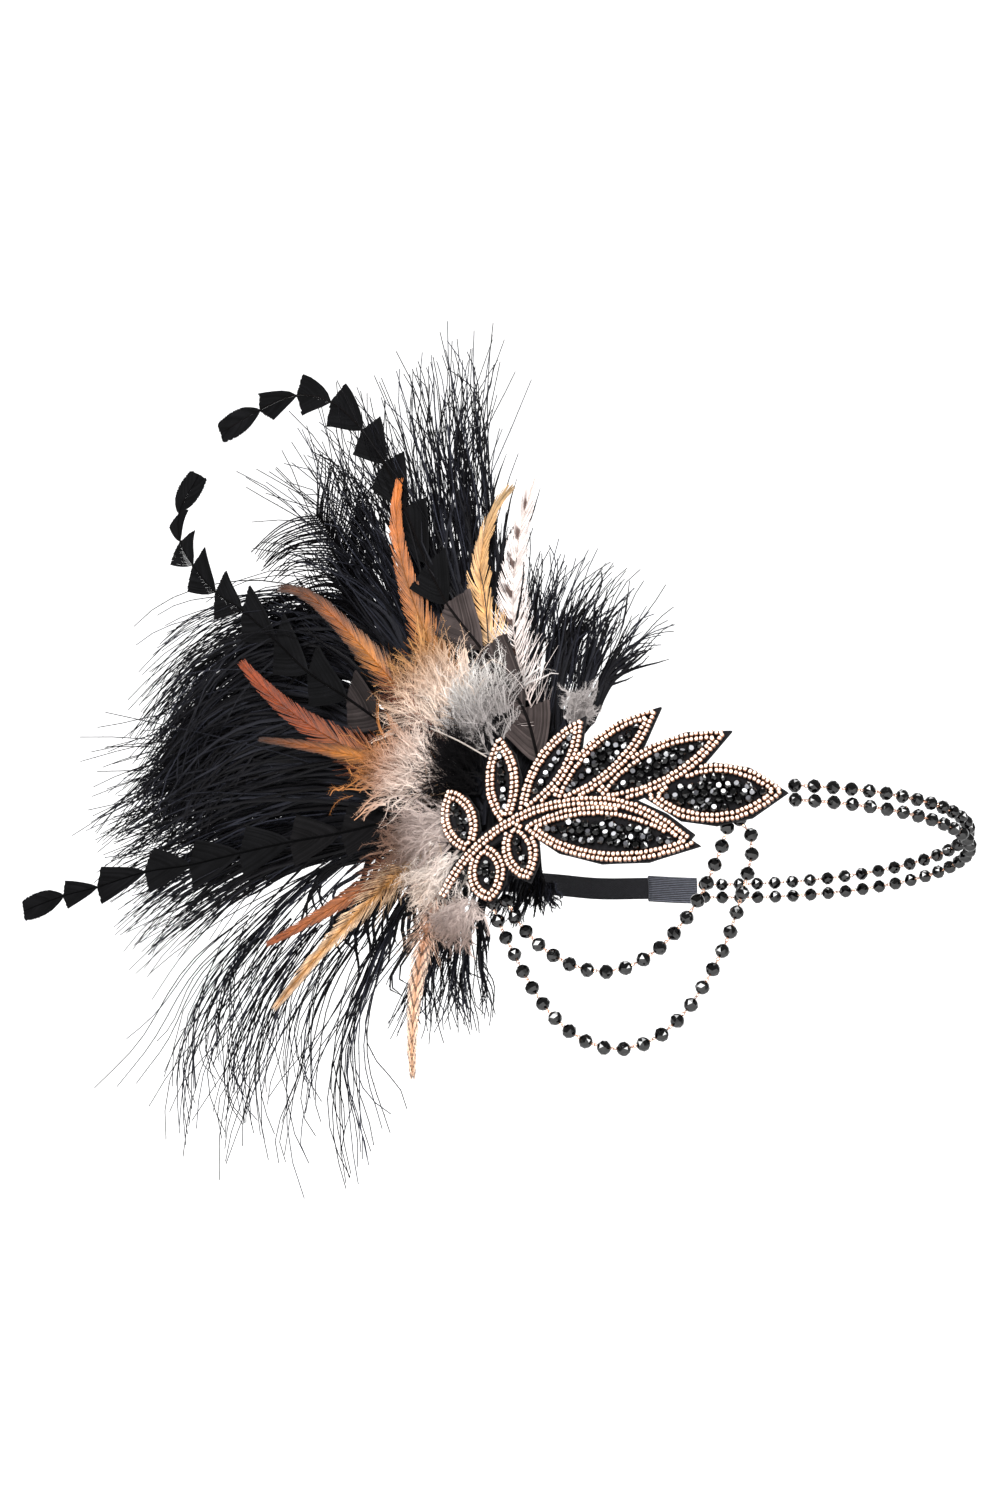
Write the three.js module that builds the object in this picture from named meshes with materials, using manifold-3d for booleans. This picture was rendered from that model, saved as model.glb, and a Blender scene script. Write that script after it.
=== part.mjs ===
// Flapper feather headband, worn round the head.
// Millimetres, +Z up. The origin is the middle of the head loop, the loop lies level,
// the beaded leaf is on the near side (-Y) and the bead strands close the right side (+X).

import * as THREE from 'three';
import { mergeVertices } from 'three/addons/utils/BufferGeometryUtils.js';
import Module from 'manifold-3d';

const wasm = await Module();
wasm.setup();

// Head loop
const LOOP_HALF_LENGTH = 95;
const LOOP_HALF_WIDTH = 66;
const GAP = 0.3;

// Bead chain
const BEAD_DIAMETER = 5.2;
const BEAD_PITCH = 7.75;
const BEAD_SIDES = 10;
const WIRE_DIAMETER = 0.9;
const WIRE_SIDES = 5;
const STRAND_SPREAD = 7.4;
const STRAND_END_SPREAD = 5.7;
const BEAD_CLEARANCE = 0.4;
const BEAD_FLAT = 0.42;
const BEAD_NECK = 0.96;
const STRAND_STEPS = 48;

// Beaded leaf
const LEAF_LENGTH = 142;
const LEAF_BEND_RADIUS = 220;
const LEAF_TURN = -20;
const LEAF_FELT = 1.6;
const FELT_MARGIN = 1.6;
const CHAIN_HOLD = 4;
const BORDER_WIDTH = 4.2;
const BORDER_HEIGHT = 1.4;
const BED_HEIGHT = 0.6;
const STONE_DIAMETER = 3.2;
const STONE_HEIGHT = 1.3;
const STONE_TABLE = 0.6;
const STONE_FACETS = 8;
const LENS_STEPS = 4;
const STEM_STEPS = 9;

// Ribbon, elastic and felt patch behind the leaf
const RIBBON_LENGTH = 22;
const RIBBON_WIDTH = 11.5;
const RIBBON_THICKNESS = 2.6;
const ELASTIC_WIDTH = 9.6;
const ELASTIC_THICKNESS = 1.2;
const PATCH_LENGTH = 36;
const PATCH_WIDTH = 28;
const PATCH_FELT = 1.6;
const PATCH_SIDES = 16;
const ELASTIC_STEPS = 22;

// Feather fan: reach of the longest feather, and how its layers lie behind the felt.
// Fluffs come first, then two layers of hackles, the cut goose feathers and the ostrich plumes.
const FAN_REACH = 290;
const FAN_DISH = 26;
const FAN_OPENING = 1.6;
const FLUFF_DEPTH = 1.9;
const FLUFF_RISE = 5;
const HACKLE_THICKNESS = 0.7;
const ARROW_THICKNESS = 0.8;
const LOCK_THICKNESS = 0.8;
const LAYER_GAP = 0.7;
const FRONT_LAYER = -2;
const HUB_X = -0.3;
const HUB_Z = 0.06;

// Swag routes, in the upright plane that hangs behind the leaf: x to the right, z up, from the
// leaf's middle. Both run from the leaf's right end down and up to its left end.
const SWAG_ROUTES = {
  swag_outer: [[52.4, -4.2], [52.2, -7.4], [52.4, -10.8], [55.4, -14.2], [56.8, -20], [55.6, -27], [52, -40],
    [46, -56.5], [38.4, -70.3], [28.4, -83.8], [16.5, -92.9], [2, -95.8], [-12, -91], [-23.4, -81.2],
    [-32.6, -68.1], [-39.8, -54], [-46, -41], [-48.6, -32], [-49, -27.5]],
  swag_inner: [[46.6, -7.6], [47.2, -10.4], [47.5, -14.2], [44.6, -21.8], [37.5, -37], [28, -50.3],
    [15.9, -60.7], [1.4, -65.6], [-12.1, -63.3], [-25.9, -55], [-36.4, -43.6], [-41.8, -34], [-42.8, -27.5]],
};

// Elastic's route: its sewn stretch along the leaf, as shares of the leaf's length, then its turn
// round the loop's left end, as shares of the loop's half length and half width
const SEWN_STRETCH = [-0.24, -0.32, -0.38, -0.43];
const ELASTIC_LEVEL = 2.6;
const ELASTIC_DROP = 1.9;
const ELASTIC_TURN = [[-1.205, 0.045], [-1.242, 0.26], [-1.2, 0.48], [-1.085, 0.62], [-0.93, 0.7],
  [-0.76, 0.765], [-0.57, 0.85]];

// Materials, one for each kind of surface
const MATERIALS = {
  black_felt: [0x17171a, 0.95, 0],
  rose_gold_bead: [0xb98a6c, 0.3, 0.9],
  black_crystal: [0x0b0b0d, 0.12, 0],
  black_elastic: [0x151517, 0.8, 0],
  grosgrain: [0x1c1c1f, 0.7, 0],
  ostrich: [0x0c0c0d, 0.85, 0],
  goose: [0x121213, 0.7, 0],
  hackle: [0xb4621f, 0.6, 0],
  pale_fluff: [0xd9bfa4, 0.9, 0],
  black_fluff: [0x101011, 0.9, 0],
};

const { cos, sin, sqrt, atan, hypot, max, min, PI, round } = Math;
const radians = (degrees) => degrees * PI / 180;
const share = (from, to, t) => from + (to - from) * t;
const headband = new THREE.Group();

function addPiece(name, geometry, materialName, parent = headband) {
  const [color, roughness, metalness] = MATERIALS[materialName];
  const mesh = new THREE.Mesh(geometry, new THREE.MeshStandardMaterial({ color, roughness, metalness }));
  mesh.name = name;
  parent.add(mesh);
}

// Closed geometry from points and triangles, turned so that its faces point outwards.
function closedGeometry(points, faces) {
  let volume = 0;
  const cross = new THREE.Vector3();
  for (const [a, b, c] of faces) volume += points[a].dot(cross.crossVectors(points[b], points[c]));
  const geometry = new THREE.BufferGeometry();
  geometry.setAttribute('position', new THREE.Float32BufferAttribute(points.flatMap((p) => p.toArray()), 3));
  geometry.setIndex(faces.flatMap(([a, b, c]) => (volume < 0 ? [a, c, b] : [a, b, c])));
  return geometry;
}

// Skin through a row of rings, closed at both ends. A ring may have twice as many corners as the next.
function loft(rings) {
  const points = rings.flat();
  const faces = [];
  let start = 0;
  for (let i = 0; i + 1 < rings.length; i += 1) {
    const [here, next] = [rings[i].length, rings[i + 1].length];
    const few = min(here, next);
    for (let k = 0; k < few; k += 1) {
      const turn = (k + 1) % few;
      if (here === next) {
        faces.push([start + k, start + turn, start + here + turn]);
        faces.push([start + k, start + here + turn, start + here + k]);
      } else {
        const flip = here > next;
        const [one, two] = flip ? [start + here, start] : [start, start + here];
        const fan = [[one + k, two + 2 * k + 1, two + 2 * k], [one + k, one + turn, two + 2 * k + 1],
          [one + turn, two + (2 * k + 2) % (2 * few), two + 2 * k + 1]];
        for (const [a, b, c] of fan) faces.push(flip ? [a, c, b] : [a, b, c]);
      }
    }
    start += here;
  }
  const last = rings[rings.length - 1].length;
  for (let k = 1; k + 1 < rings[0].length; k += 1) faces.push([0, k + 1, k]);
  for (let k = 1; k + 1 < last; k += 1) faces.push([start, start + k, start + k + 1]);
  return closedGeometry(points, faces);
}

// The library that joins and cuts solids
function toSolid(geometry) {
  const bare = geometry.clone();
  bare.deleteAttribute('normal');
  bare.deleteAttribute('uv');
  const merged = mergeVertices(bare, 1e-4);
  return new wasm.Manifold(new wasm.Mesh({
    numProp: 3,
    vertProperties: new Float32Array(merged.attributes.position.array),
    triVerts: new Uint32Array(merged.index.array),
  }));
}

function toGeometry(solid) {
  const mesh = solid.getMesh();
  const geometry = new THREE.BufferGeometry();
  geometry.setAttribute('position', new THREE.BufferAttribute(new Float32Array(mesh.vertProperties), 3));
  geometry.setIndex(new THREE.BufferAttribute(new Uint32Array(mesh.triVerts), 1));
  return geometry;
}

const joined = (geometries) => geometries.map(toSolid).reduce((all, next) => all.add(next));

// Surface of the leaf: a stiff felt that bends round the head and runs on flat past its left end
const HALF_LEAF = LEAF_LENGTH / 2;
const FLAT_FROM = -0.32 * LEAF_LENGTH;
const feltFacets = [-0.53, FLAT_FROM / LEAF_LENGTH, -0.2, -0.08, 0.04, 0.16, 0.28, 0.4, 0.53];

function exactBack(x) {
  const bent = max(x, FLAT_FROM);
  const slope = FLAT_FROM / sqrt(LEAF_BEND_RADIUS ** 2 - FLAT_FROM ** 2);
  const onArc = sqrt(LEAF_BEND_RADIUS ** 2 - HALF_LEAF ** 2) - sqrt(LEAF_BEND_RADIUS ** 2 - bent ** 2);
  return onArc + slope * (x - bent);
}

// Depth of the felt's back at x, on the few flat facets that stand for the bend
function feltBack(x) {
  const stations = feltFacets.map((part) => part * LEAF_LENGTH);
  if (x <= stations[1]) return exactBack(x);
  const next = min(max(stations.findIndex((station) => station >= x), 1), stations.length - 1);
  const last = x > stations[stations.length - 1] ? stations.length - 1 : next;
  const [from, to] = [stations[last - 1], stations[last]];
  return share(exactBack(from), exactBack(to), (x - from) / (to - from));
}

// A place on the leaf: x along it, z up, and depth behind the felt's back
const leafPlace = (x, z, depth) => new THREE.Vector3(x, feltBack(x) + depth, z);

// Upright plate, taller than the leaf, that follows the felt's bend between two depths
function bentPlate(depthFrom, depthTo) {
  const xs = feltFacets.map((part) => part * LEAF_LENGTH);
  const front = xs.map((x) => new THREE.Vector2(x, feltBack(x) + depthFrom));
  const back = xs.map((x) => new THREE.Vector2(x, feltBack(x) + depthTo)).reverse();
  const plate = new THREE.ExtrudeGeometry(new THREE.Shape([...front, ...back]), {
    depth: LEAF_LENGTH, bevelEnabled: false,
  });
  plate.translate(0, 0, -HALF_LEAF);
  return toSolid(plate);
}

// Straight prism through the leaf, along Y, from an outline in x and z
function outlinePrism(outline) {
  const shape = new THREE.Shape(outline);
  const prism = new THREE.ExtrudeGeometry(shape, { depth: LEAF_LENGTH, bevelEnabled: false });
  prism.rotateX(PI / 2);
  prism.translate(0, HALF_LEAF, 0);
  return toSolid(prism);
}

// Leaflets, as shares of the leaf's length: foot, point and half the width at the middle
const LEAFLETS = [
  { footX: -0.396, footZ: -0.086, pointX: -0.467, pointZ: 0.101, halfWidth: 0.05, stones: 2 },
  { footX: -0.283, footZ: -0.03, pointX: -0.303, pointZ: 0.228, halfWidth: 0.047, stones: 2 },
  { footX: -0.235, footZ: -0.01, pointX: -0.05, pointZ: 0.24, halfWidth: 0.05, stones: 3 },
  { footX: -0.14, footZ: 0.002, pointX: 0.16, pointZ: 0.244, halfWidth: 0.057, stones: 4 },
  { footX: -0.02, footZ: 0.0, pointX: 0.345, pointZ: 0.166, halfWidth: 0.058, stones: 5 },
  { footX: 0.14, footZ: -0.004, pointX: 0.488, pointZ: -0.006, halfWidth: 0.079, stones: 6 },
  { footX: -0.22, footZ: -0.048, pointX: 0.252, pointZ: -0.146, halfWidth: 0.072, stones: 7 },
  { footX: -0.264, footZ: -0.03, pointX: -0.212, pointZ: -0.194, halfWidth: 0.047, stones: 2 },
  { footX: -0.356, footZ: -0.08, pointX: -0.33, pointZ: -0.238, halfWidth: 0.053, stones: 2 },
];
const STEM = [[-0.487, -0.205], [-0.432, -0.13], [-0.349, -0.063], [-0.259, -0.022], [-0.173, -0.001],
  [-0.089, 0.004], [-0.007, -0.001], [0.083, -0.025], [0.17, -0.075], [0.24, -0.136]];

// Pointed lens between foot and point, its two edges arcs, grown outwards by a margin (or inwards)
function lensOutline(leaflet, grow) {
  const foot = new THREE.Vector2(leaflet.footX, leaflet.footZ).multiplyScalar(LEAF_LENGTH);
  const point = new THREE.Vector2(leaflet.pointX, leaflet.pointZ).multiplyScalar(LEAF_LENGTH);
  const along = point.clone().sub(foot);
  const length = along.length();
  along.normalize();
  const across = new THREE.Vector2(-along.y, along.x);
  const bulge = leaflet.halfWidth * LEAF_LENGTH;
  const tipAngle = 2 * atan(2 * bulge / length);
  const shift = grow / sin(tipAngle);
  const half = length / 2 + shift;
  const rise = bulge + grow;
  const radius = (half ** 2 + rise ** 2) / (2 * rise);
  const middle = foot.clone().add(point).multiplyScalar(0.5);
  const edge = (side) => Array.from({ length: LENS_STEPS }, (_, k) => {
    const s = side * share(-half, half, k / LENS_STEPS);
    const lift = side * (sqrt(radius ** 2 - s ** 2) - radius + rise);
    return middle.clone().addScaledVector(along, s).addScaledVector(across, lift);
  });
  return [...edge(1), ...edge(-1)].reverse();
}

// Strip along the stem, at half a width to either side of its curve
function stemOutline(halfWidth) {
  const points = STEM.map(([x, z]) => new THREE.Vector2(x, z).multiplyScalar(LEAF_LENGTH));
  const curve = new THREE.SplineCurve(points);
  const edge = (side) => Array.from({ length: STEM_STEPS + 1 }, (_, k) => {
    const tangent = curve.getTangent(k / STEM_STEPS);
    const across = new THREE.Vector2(-tangent.y, tangent.x).multiplyScalar(side * halfWidth);
    return curve.getPoint(k / STEM_STEPS).add(across);
  });
  return [...edge(-1), ...edge(1).reverse()];
}

const leaf = new THREE.Group();
const loopPoint = (degrees, height = 0) => new THREE.Vector3(
  LOOP_HALF_LENGTH * cos(radians(degrees)), LOOP_HALF_WIDTH * sin(radians(degrees)), height,
);
const STRAND_START = -84.2;
const RIBBON_RIGHT = 96.5;
const ribbonTurn = (length) => length / LOOP_HALF_LENGTH * 180 / PI;
const WIRE_DEPTH = GAP + WIRE_DIAMETER / 2;
const BEAD_DEPTH = GAP + BEAD_CLEARANCE + BEAD_DIAMETER / 2;

// The leaf is hung so that the strands' first wires lie on the felt's back near its right point
leaf.rotation.z = radians(LEAF_TURN);
leaf.position.copy(loopPoint(STRAND_START))
  .sub(leafPlace(HALF_LEAF - CHAIN_HOLD, 0, WIRE_DEPTH).applyEuler(leaf.rotation));
headband.add(leaf);

const feltOutline = [...LEAFLETS.map((leaflet) => lensOutline(leaflet, FELT_MARGIN)),
  stemOutline(BORDER_WIDTH / 2 + FELT_MARGIN)].map(outlinePrism).reduce((all, next) => all.add(next));
addPiece('leaf_backing', toGeometry(feltOutline.intersect(bentPlate(-LEAF_FELT, 0))), 'black_felt', leaf);

// Double rows of metal beads round every leaflet and along the stem, as one raised border
const borderRing = (leaflet, spare) => outlinePrism(lensOutline(leaflet, spare))
  .subtract(outlinePrism(lensOutline(leaflet, -BORDER_WIDTH - spare)));
const stemStrip = (spare) => outlinePrism(stemOutline(BORDER_WIDTH / 2 + spare));
const feltFront = -LEAF_FELT - GAP;
const border = LEAFLETS.map((leaflet) => borderRing(leaflet, 0))
  .reduce((all, next) => all.add(next), stemStrip(0))
  .intersect(bentPlate(feltFront - BORDER_HEIGHT, feltFront));
addPiece('bead_border', toGeometry(border), 'rose_gold_bead', leaf);

// A cut stone: table in front, eight facets round it, standing on a bed
function cutStone(x, z, turn) {
  const ring = (radius, depth) => Array.from({ length: STONE_FACETS }, (_, k) => {
    const angle = turn + k * 2 * PI / STONE_FACETS;
    return leafPlace(x, z, depth).add(new THREE.Vector3(radius * cos(angle), 0, radius * sin(angle)));
  });
  const base = feltFront - BED_HEIGHT / 2;
  return loft([ring(STONE_DIAMETER / 2, base), ring(STONE_TABLE * STONE_DIAMETER / 2, base - STONE_HEIGHT)]);
}

// One bed of crystals for each leaflet: a thin plate inside the border, with its stones fused on.
// The stones stand in a zigzag between two shares of the leaflet's length, each turned on from the last.
const STONES_FROM = 0.3;
const STONES_TO = 0.72;
const STONE_TURN = 0.4;
LEAFLETS.forEach((leaflet, index) => {
  const bed = LEAFLETS.filter((other) => other !== leaflet).map((other) => borderRing(other, GAP))
    .reduce((all, next) => all.subtract(next), outlinePrism(lensOutline(leaflet, -BORDER_WIDTH - GAP)))
    .subtract(stemStrip(GAP)).intersect(bentPlate(feltFront - BED_HEIGHT, feltFront));
  const parts = bed.decompose().sort((a, b) => b.volume() - a.volume());
  const stones = Array.from({ length: leaflet.stones }, (_, k) => {
    const t = share(STONES_FROM, STONES_TO, (k + 0.5) / leaflet.stones);
    const room = max(leaflet.halfWidth * LEAF_LENGTH - BORDER_WIDTH - STONE_DIAMETER / 2, 0);
    const side = (k % 2 ? 1 : -1) * room / 2;
    const along = new THREE.Vector2(leaflet.pointX - leaflet.footX, leaflet.pointZ - leaflet.footZ);
    const spot = new THREE.Vector2(leaflet.footX, leaflet.footZ).addScaledVector(along, t)
      .multiplyScalar(LEAF_LENGTH);
    const across = new THREE.Vector2(-along.y, along.x).normalize().multiplyScalar(side);
    return cutStone(spot.x + across.x, spot.y + across.y, k * STONE_TURN);
  });
  addPiece(`crystal_bed_${index + 1}`, toGeometry(parts[0].add(joined(stones))), 'black_crystal', leaf);
});

// A string of faceted beads on a wire, as one body: each bead is a ring-stepped barrel
function beadString(curve, leadIn, leadOut, reference) {
  const length = curve.getLength();
  const count = round((length - leadIn - leadOut) / BEAD_PITCH) + 1;
  const pitch = (length - leadIn - leadOut) / (count - 1);
  const radius = BEAD_DIAMETER / 2;
  const ring = (s, ringRadius, sides) => {
    const u = min(max(s / length, 0), 1);
    const tangent = curve.getTangentAt(u);
    const out = new THREE.Vector3().crossVectors(reference, tangent).normalize();
    const up = new THREE.Vector3().crossVectors(tangent, out);
    return Array.from({ length: sides }, (_, k) => curve.getPointAt(u)
      .addScaledVector(out, ringRadius * cos(2 * PI * k / sides))
      .addScaledVector(up, ringRadius * sin(2 * PI * k / sides)));
  };
  const rings = [ring(0, WIRE_DIAMETER / 2, WIRE_SIDES)];
  for (let k = 0; k < count; k += 1) {
    const s = leadIn + k * pitch;
    rings.push(
      ring(s - radius * BEAD_NECK, WIRE_DIAMETER / 2, WIRE_SIDES),
      ring(s - radius * BEAD_FLAT, radius, BEAD_SIDES),
      ring(s + radius * BEAD_FLAT, radius, BEAD_SIDES),
      ring(s + radius * BEAD_NECK, WIRE_DIAMETER / 2, WIRE_SIDES),
    );
  }
  rings.push(ring(length, WIRE_DIAMETER / 2, WIRE_SIDES));
  return loft(rings);
}

// The two strands run round the loop's right side, side by side, from the leaf's point to the ribbon
for (const [name, side] of [['strand_upper', 1], ['strand_lower', -1]]) {
  const end = RIBBON_RIGHT - ribbonTurn(GAP);
  const points = Array.from({ length: STRAND_STEPS + 1 }, (_, k) => {
    const t = k / STRAND_STEPS;
    const spread = share(STRAND_END_SPREAD, STRAND_SPREAD, sin(PI * t));
    return loopPoint(share(STRAND_START, end, t), side * spread / 2);
  });
  const leadIn = CHAIN_HOLD + BEAD_CLEARANCE + BEAD_DIAMETER / 2;
  const leadOut = BEAD_CLEARANCE + BEAD_DIAMETER / 2;
  const curve = new THREE.CatmullRomCurve3(points, false, 'centripetal');
  addPiece(name, beadString(curve, leadIn, leadOut, new THREE.Vector3(0, 0, 1)), 'black_crystal');
}

// Swags hang from the leaf's two ends, their wires against the felt's back
for (const [name, route] of Object.entries(SWAG_ROUTES)) {
  const ends = [route[0][0], route[route.length - 1][0]];
  const points = route.map(([x, z], k) => {
    const hung = share(feltBack(ends[0]), feltBack(ends[1]), (x - ends[0]) / (ends[1] - ends[0]));
    const depth = k === 0 || k === route.length - 1 ? WIRE_DEPTH : BEAD_DEPTH;
    return new THREE.Vector3(x, max(hung, feltBack(x)) + depth, z);
  });
  const curve = new THREE.CatmullRomCurve3(points, false, 'centripetal');
  const lead = CHAIN_HOLD + BEAD_DIAMETER / 2;
  addPiece(name, beadString(curve, lead, lead, new THREE.Vector3(0, 1, 0)), 'black_crystal', leaf);
}

// Upright strip of constant height along points in the loop's plane, such as elastic or ribbon
function uprightStrip(points, width, thickness) {
  const rings = points.map((point, k) => {
    const before = points[max(k - 1, 0)];
    const after = points[min(k + 1, points.length - 1)];
    const tangent = after.clone().sub(before).setZ(0).normalize();
    const out = new THREE.Vector3(tangent.y, -tangent.x, 0);
    return [[-1, -1], [1, -1], [1, 1], [-1, 1]].map(([a, b]) => point.clone()
      .addScaledVector(out, a * thickness / 2).add(new THREE.Vector3(0, 0, b * width / 2)));
  });
  return loft(rings);
}

// The ribbon end is folded over the strands' ends and the elastic's end
const RIBBON_STEPS = 4;
const ribbonLeft = RIBBON_RIGHT + ribbonTurn(RIBBON_LENGTH);
const ribbonPoints = Array.from({ length: RIBBON_STEPS + 1 },
  (_, k) => loopPoint(share(RIBBON_RIGHT, ribbonLeft, k / RIBBON_STEPS)));
addPiece('ribbon_end', uprightStrip(ribbonPoints, RIBBON_WIDTH, RIBBON_THICKNESS), 'grosgrain');

// Ostrich plumes: locks of barbs that part from one flat head and droop.
// Across a plume the heading, the turn and the length run from one end value to the other.
const PLUMES = [
  { rootX: -0.18, rootZ: 0.21, headings: [82, 44], turns: [4, 0], lengths: [0.36, 0.27], locks: 7 },
  { rootX: -0.39, rootZ: 0.3, headings: [104, 90], turns: [8, -6], lengths: [0.62, 0.6], locks: 7 },
  { rootX: -0.54, rootZ: 0.364, headings: [122, 113], turns: [66, -4], lengths: [0.5, 0.57], locks: 7 },
  { rootX: -0.62, rootZ: 0.252, headings: [138, 100], turns: [92, 156], lengths: [0.5, 0.74], locks: 8 },
  { rootX: -0.51, rootZ: 0.084, headings: [170, 145], turns: [34, 54], lengths: [0.54, 0.66], locks: 8 },
  { rootX: -0.58, rootZ: 0.018, headings: [198, 236], turns: [56, 38], lengths: [0.58, 0.52], locks: 9 },
  { rootX: -0.45, rootZ: -0.08, headings: [238, 272], turns: [30, 4], lengths: [0.33, 0.24], locks: 6 },
  { rootX: -0.26, rootZ: -0.1, headings: [246, 292], turns: [10, -4], lengths: [0.14, 0.12], locks: 5 },
];
// Depths of the layers behind the felt, from the fluffs next to it to the patch over all the roots
const fluffDepth = GAP;
const frontDepth = fluffDepth + FLUFF_DEPTH + GAP;
const hackleDepth = [frontDepth, frontDepth + HACKLE_THICKNESS + LAYER_GAP];
const arrowDepth = hackleDepth[1] + HACKLE_THICKNESS + LAYER_GAP;
const plumeDepth = (layer) => arrowDepth + ARROW_THICKNESS + LAYER_GAP + layer * (LOCK_THICKNESS + LAYER_GAP);
const patchDepth = plumeDepth(PLUMES.length);
const hub = new THREE.Vector2(HUB_X * LEAF_LENGTH, HUB_Z * LEAF_LENGTH);

// The fan's layers part from each other and dish forwards, away from the head, as they spread
function fanPlace(x, z, depth, layer) {
  const reach = hypot(x - hub.x, z - hub.y) / FAN_REACH;
  return leafPlace(x, z, depth + layer * FAN_OPENING * reach - FAN_DISH * reach ** 2);
}

const patchRing = (depth) => new THREE.EllipseCurve(hub.x, hub.y, PATCH_LENGTH / 2, PATCH_WIDTH / 2)
  .getPoints(PATCH_SIDES).slice(1).map((spot) => leafPlace(spot.x, spot.y, depth));
const patch = loft([patchRing(patchDepth), patchRing(patchDepth + PATCH_FELT)]);
addPiece('feather_patch', patch, 'black_felt', leaf);

// The elastic leaves the patch, turns round the loop's left end and runs to the ribbon
const elasticDepth = patchDepth + PATCH_FELT + LAYER_GAP + ELASTIC_THICKNESS / 2;
leaf.updateMatrixWorld(true);
const sewn = SEWN_STRETCH.map((part) => leafPlace(part * LEAF_LENGTH, ELASTIC_LEVEL, elasticDepth)
  .applyMatrix4(leaf.matrixWorld));
const turned = ELASTIC_TURN.map(
  ([x, y]) => new THREE.Vector3(x * LOOP_HALF_LENGTH, y * LOOP_HALF_WIDTH, -ELASTIC_DROP),
);
const elasticRoute = new THREE.CatmullRomCurve3(
  [...sewn, ...turned, loopPoint(ribbonLeft + ribbonTurn(GAP))], false, 'centripetal',
).getSpacedPoints(ELASTIC_STEPS);
addPiece('elastic_band', uprightStrip(elasticRoute, ELASTIC_WIDTH, ELASTIC_THICKNESS), 'black_elastic');

// A feather's line in the fan: it starts at a root, runs at a heading and turns ever faster towards its tip.
// The heading at a share s of its length is start + turn * s ^ power, in degrees.
const FINE_STEPS = 8;
function featherLine({ rootX, rootZ, length, heading, turn, power }, steps) {
  const line = [new THREE.Vector2(rootX * LEAF_LENGTH, rootZ * LEAF_LENGTH)];
  const stride = length * FAN_REACH / steps / FINE_STEPS;
  for (let k = 0; k < steps; k += 1) {
    const next = line[k].clone();
    for (let j = 0; j < FINE_STEPS; j += 1) {
      const angle = radians(heading + turn * ((k + (j + 0.5) / FINE_STEPS) / steps) ** power);
      next.add(new THREE.Vector2(cos(angle), sin(angle)).multiplyScalar(stride));
    }
    line.push(next);
  }
  return line;
}

const across2 = (line, k) => {
  const tangent = line[min(k + 1, line.length - 1)].clone().sub(line[max(k - 1, 0)]).normalize();
  return new THREE.Vector2(-tangent.y, tangent.x);
};

// Thin blade along a feather's line, with a low ridge in front: widths are shares of its full width
function blade(feather, widths, thickness, depth, layer) {
  const line = featherLine(feather, widths.length - 1);
  return loft(widths.map((part, k) => {
    const across = across2(line, k);
    const half = part * feather.width * FAN_REACH / 2;
    const corner = (side, behind) => {
      const spot = line[k].clone().addScaledVector(across, side * half);
      return fanPlace(spot.x, spot.y, depth + behind * thickness, layer);
    };
    return [corner(-1, 1), corner(0, 0), corner(1, 1)];
  }));
}

// Rooster hackles, orange, gold and barred; lengths and widths are shares of the fan's reach.
// Layer 0 lies on the fluffs and layer 1 behind it, so hackles that cross are in different layers.
const HACKLE_WIDTHS = [0.3, 1, 0.95, 0.62, 0.42, 0.28, 0.06];
const HACKLES = [
  { rootX: -0.41, rootZ: 0.257, length: 0.443, width: 0.055, heading: 113, turn: -38, power: 3.9, layer: 1 },
  { rootX: -0.485, rootZ: 0.26, length: 0.413, width: 0.045, heading: 129, turn: 43, power: 8, layer: 0 },
  { rootX: -0.46, rootZ: 0.118, length: 0.453, width: 0.055, heading: 154, turn: -27, power: 1.8, layer: 1 },
  { rootX: -0.514, rootZ: 0.146, length: 0.324, width: 0.03, heading: 150, turn: 15, power: 0.8, layer: 0 },
  { rootX: -0.54, rootZ: -0.018, length: 0.289, width: 0.035, heading: 206, turn: -8, power: 1.6, layer: 1 },
  { rootX: -0.51, rootZ: -0.02, length: 0.335, width: 0.045, heading: 212, turn: 16, power: 1.3, layer: 0 },
  { rootX: -0.476, rootZ: -0.12, length: 0.294, width: 0.035, heading: 238, turn: 38, power: 0.7, layer: 0 },
  { rootX: -0.22, rootZ: 0.285, length: 0.382, width: 0.05, heading: 115, turn: -79, power: 2.6, layer: 0 },
  { rootX: -0.175, rootZ: 0.24, length: 0.39, width: 0.06, heading: 121, turn: -54, power: 0.8, layer: 1 },
];
HACKLES.forEach((hackle, k) => {
  const depth = hackleDepth[hackle.layer];
  const vane = blade(hackle, HACKLE_WIDTHS, HACKLE_THICKNESS, depth, FRONT_LAYER + hackle.layer);
  addPiece(`hackle_${k + 1}`, vane, 'hackle', leaf);
});

// Goose feathers cut to arrow-head steps along a bare quill; steps shrink towards the tip
const ARROWS = [
  { rootX: -0.187, rootZ: 0.146, length: 0.934, width: 0.092, heading: 117, turn: 131, power: 7.2, steps: 12 },
  { rootX: -0.47, rootZ: 0.167, length: 0.776, width: 0.082, heading: 139, turn: -86, power: 7.1, steps: 10 },
  { rootX: -0.47, rootZ: 0.062, length: 0.745, width: 0.09, heading: 181, turn: 13, power: 3.9, steps: 9 },
];
const QUILL_WIDTH = 2;
const TIP_SHARE = 0.42;
const TAPER_POWER = 1.5;
const CORNER_SHARE = 0.88;

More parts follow.
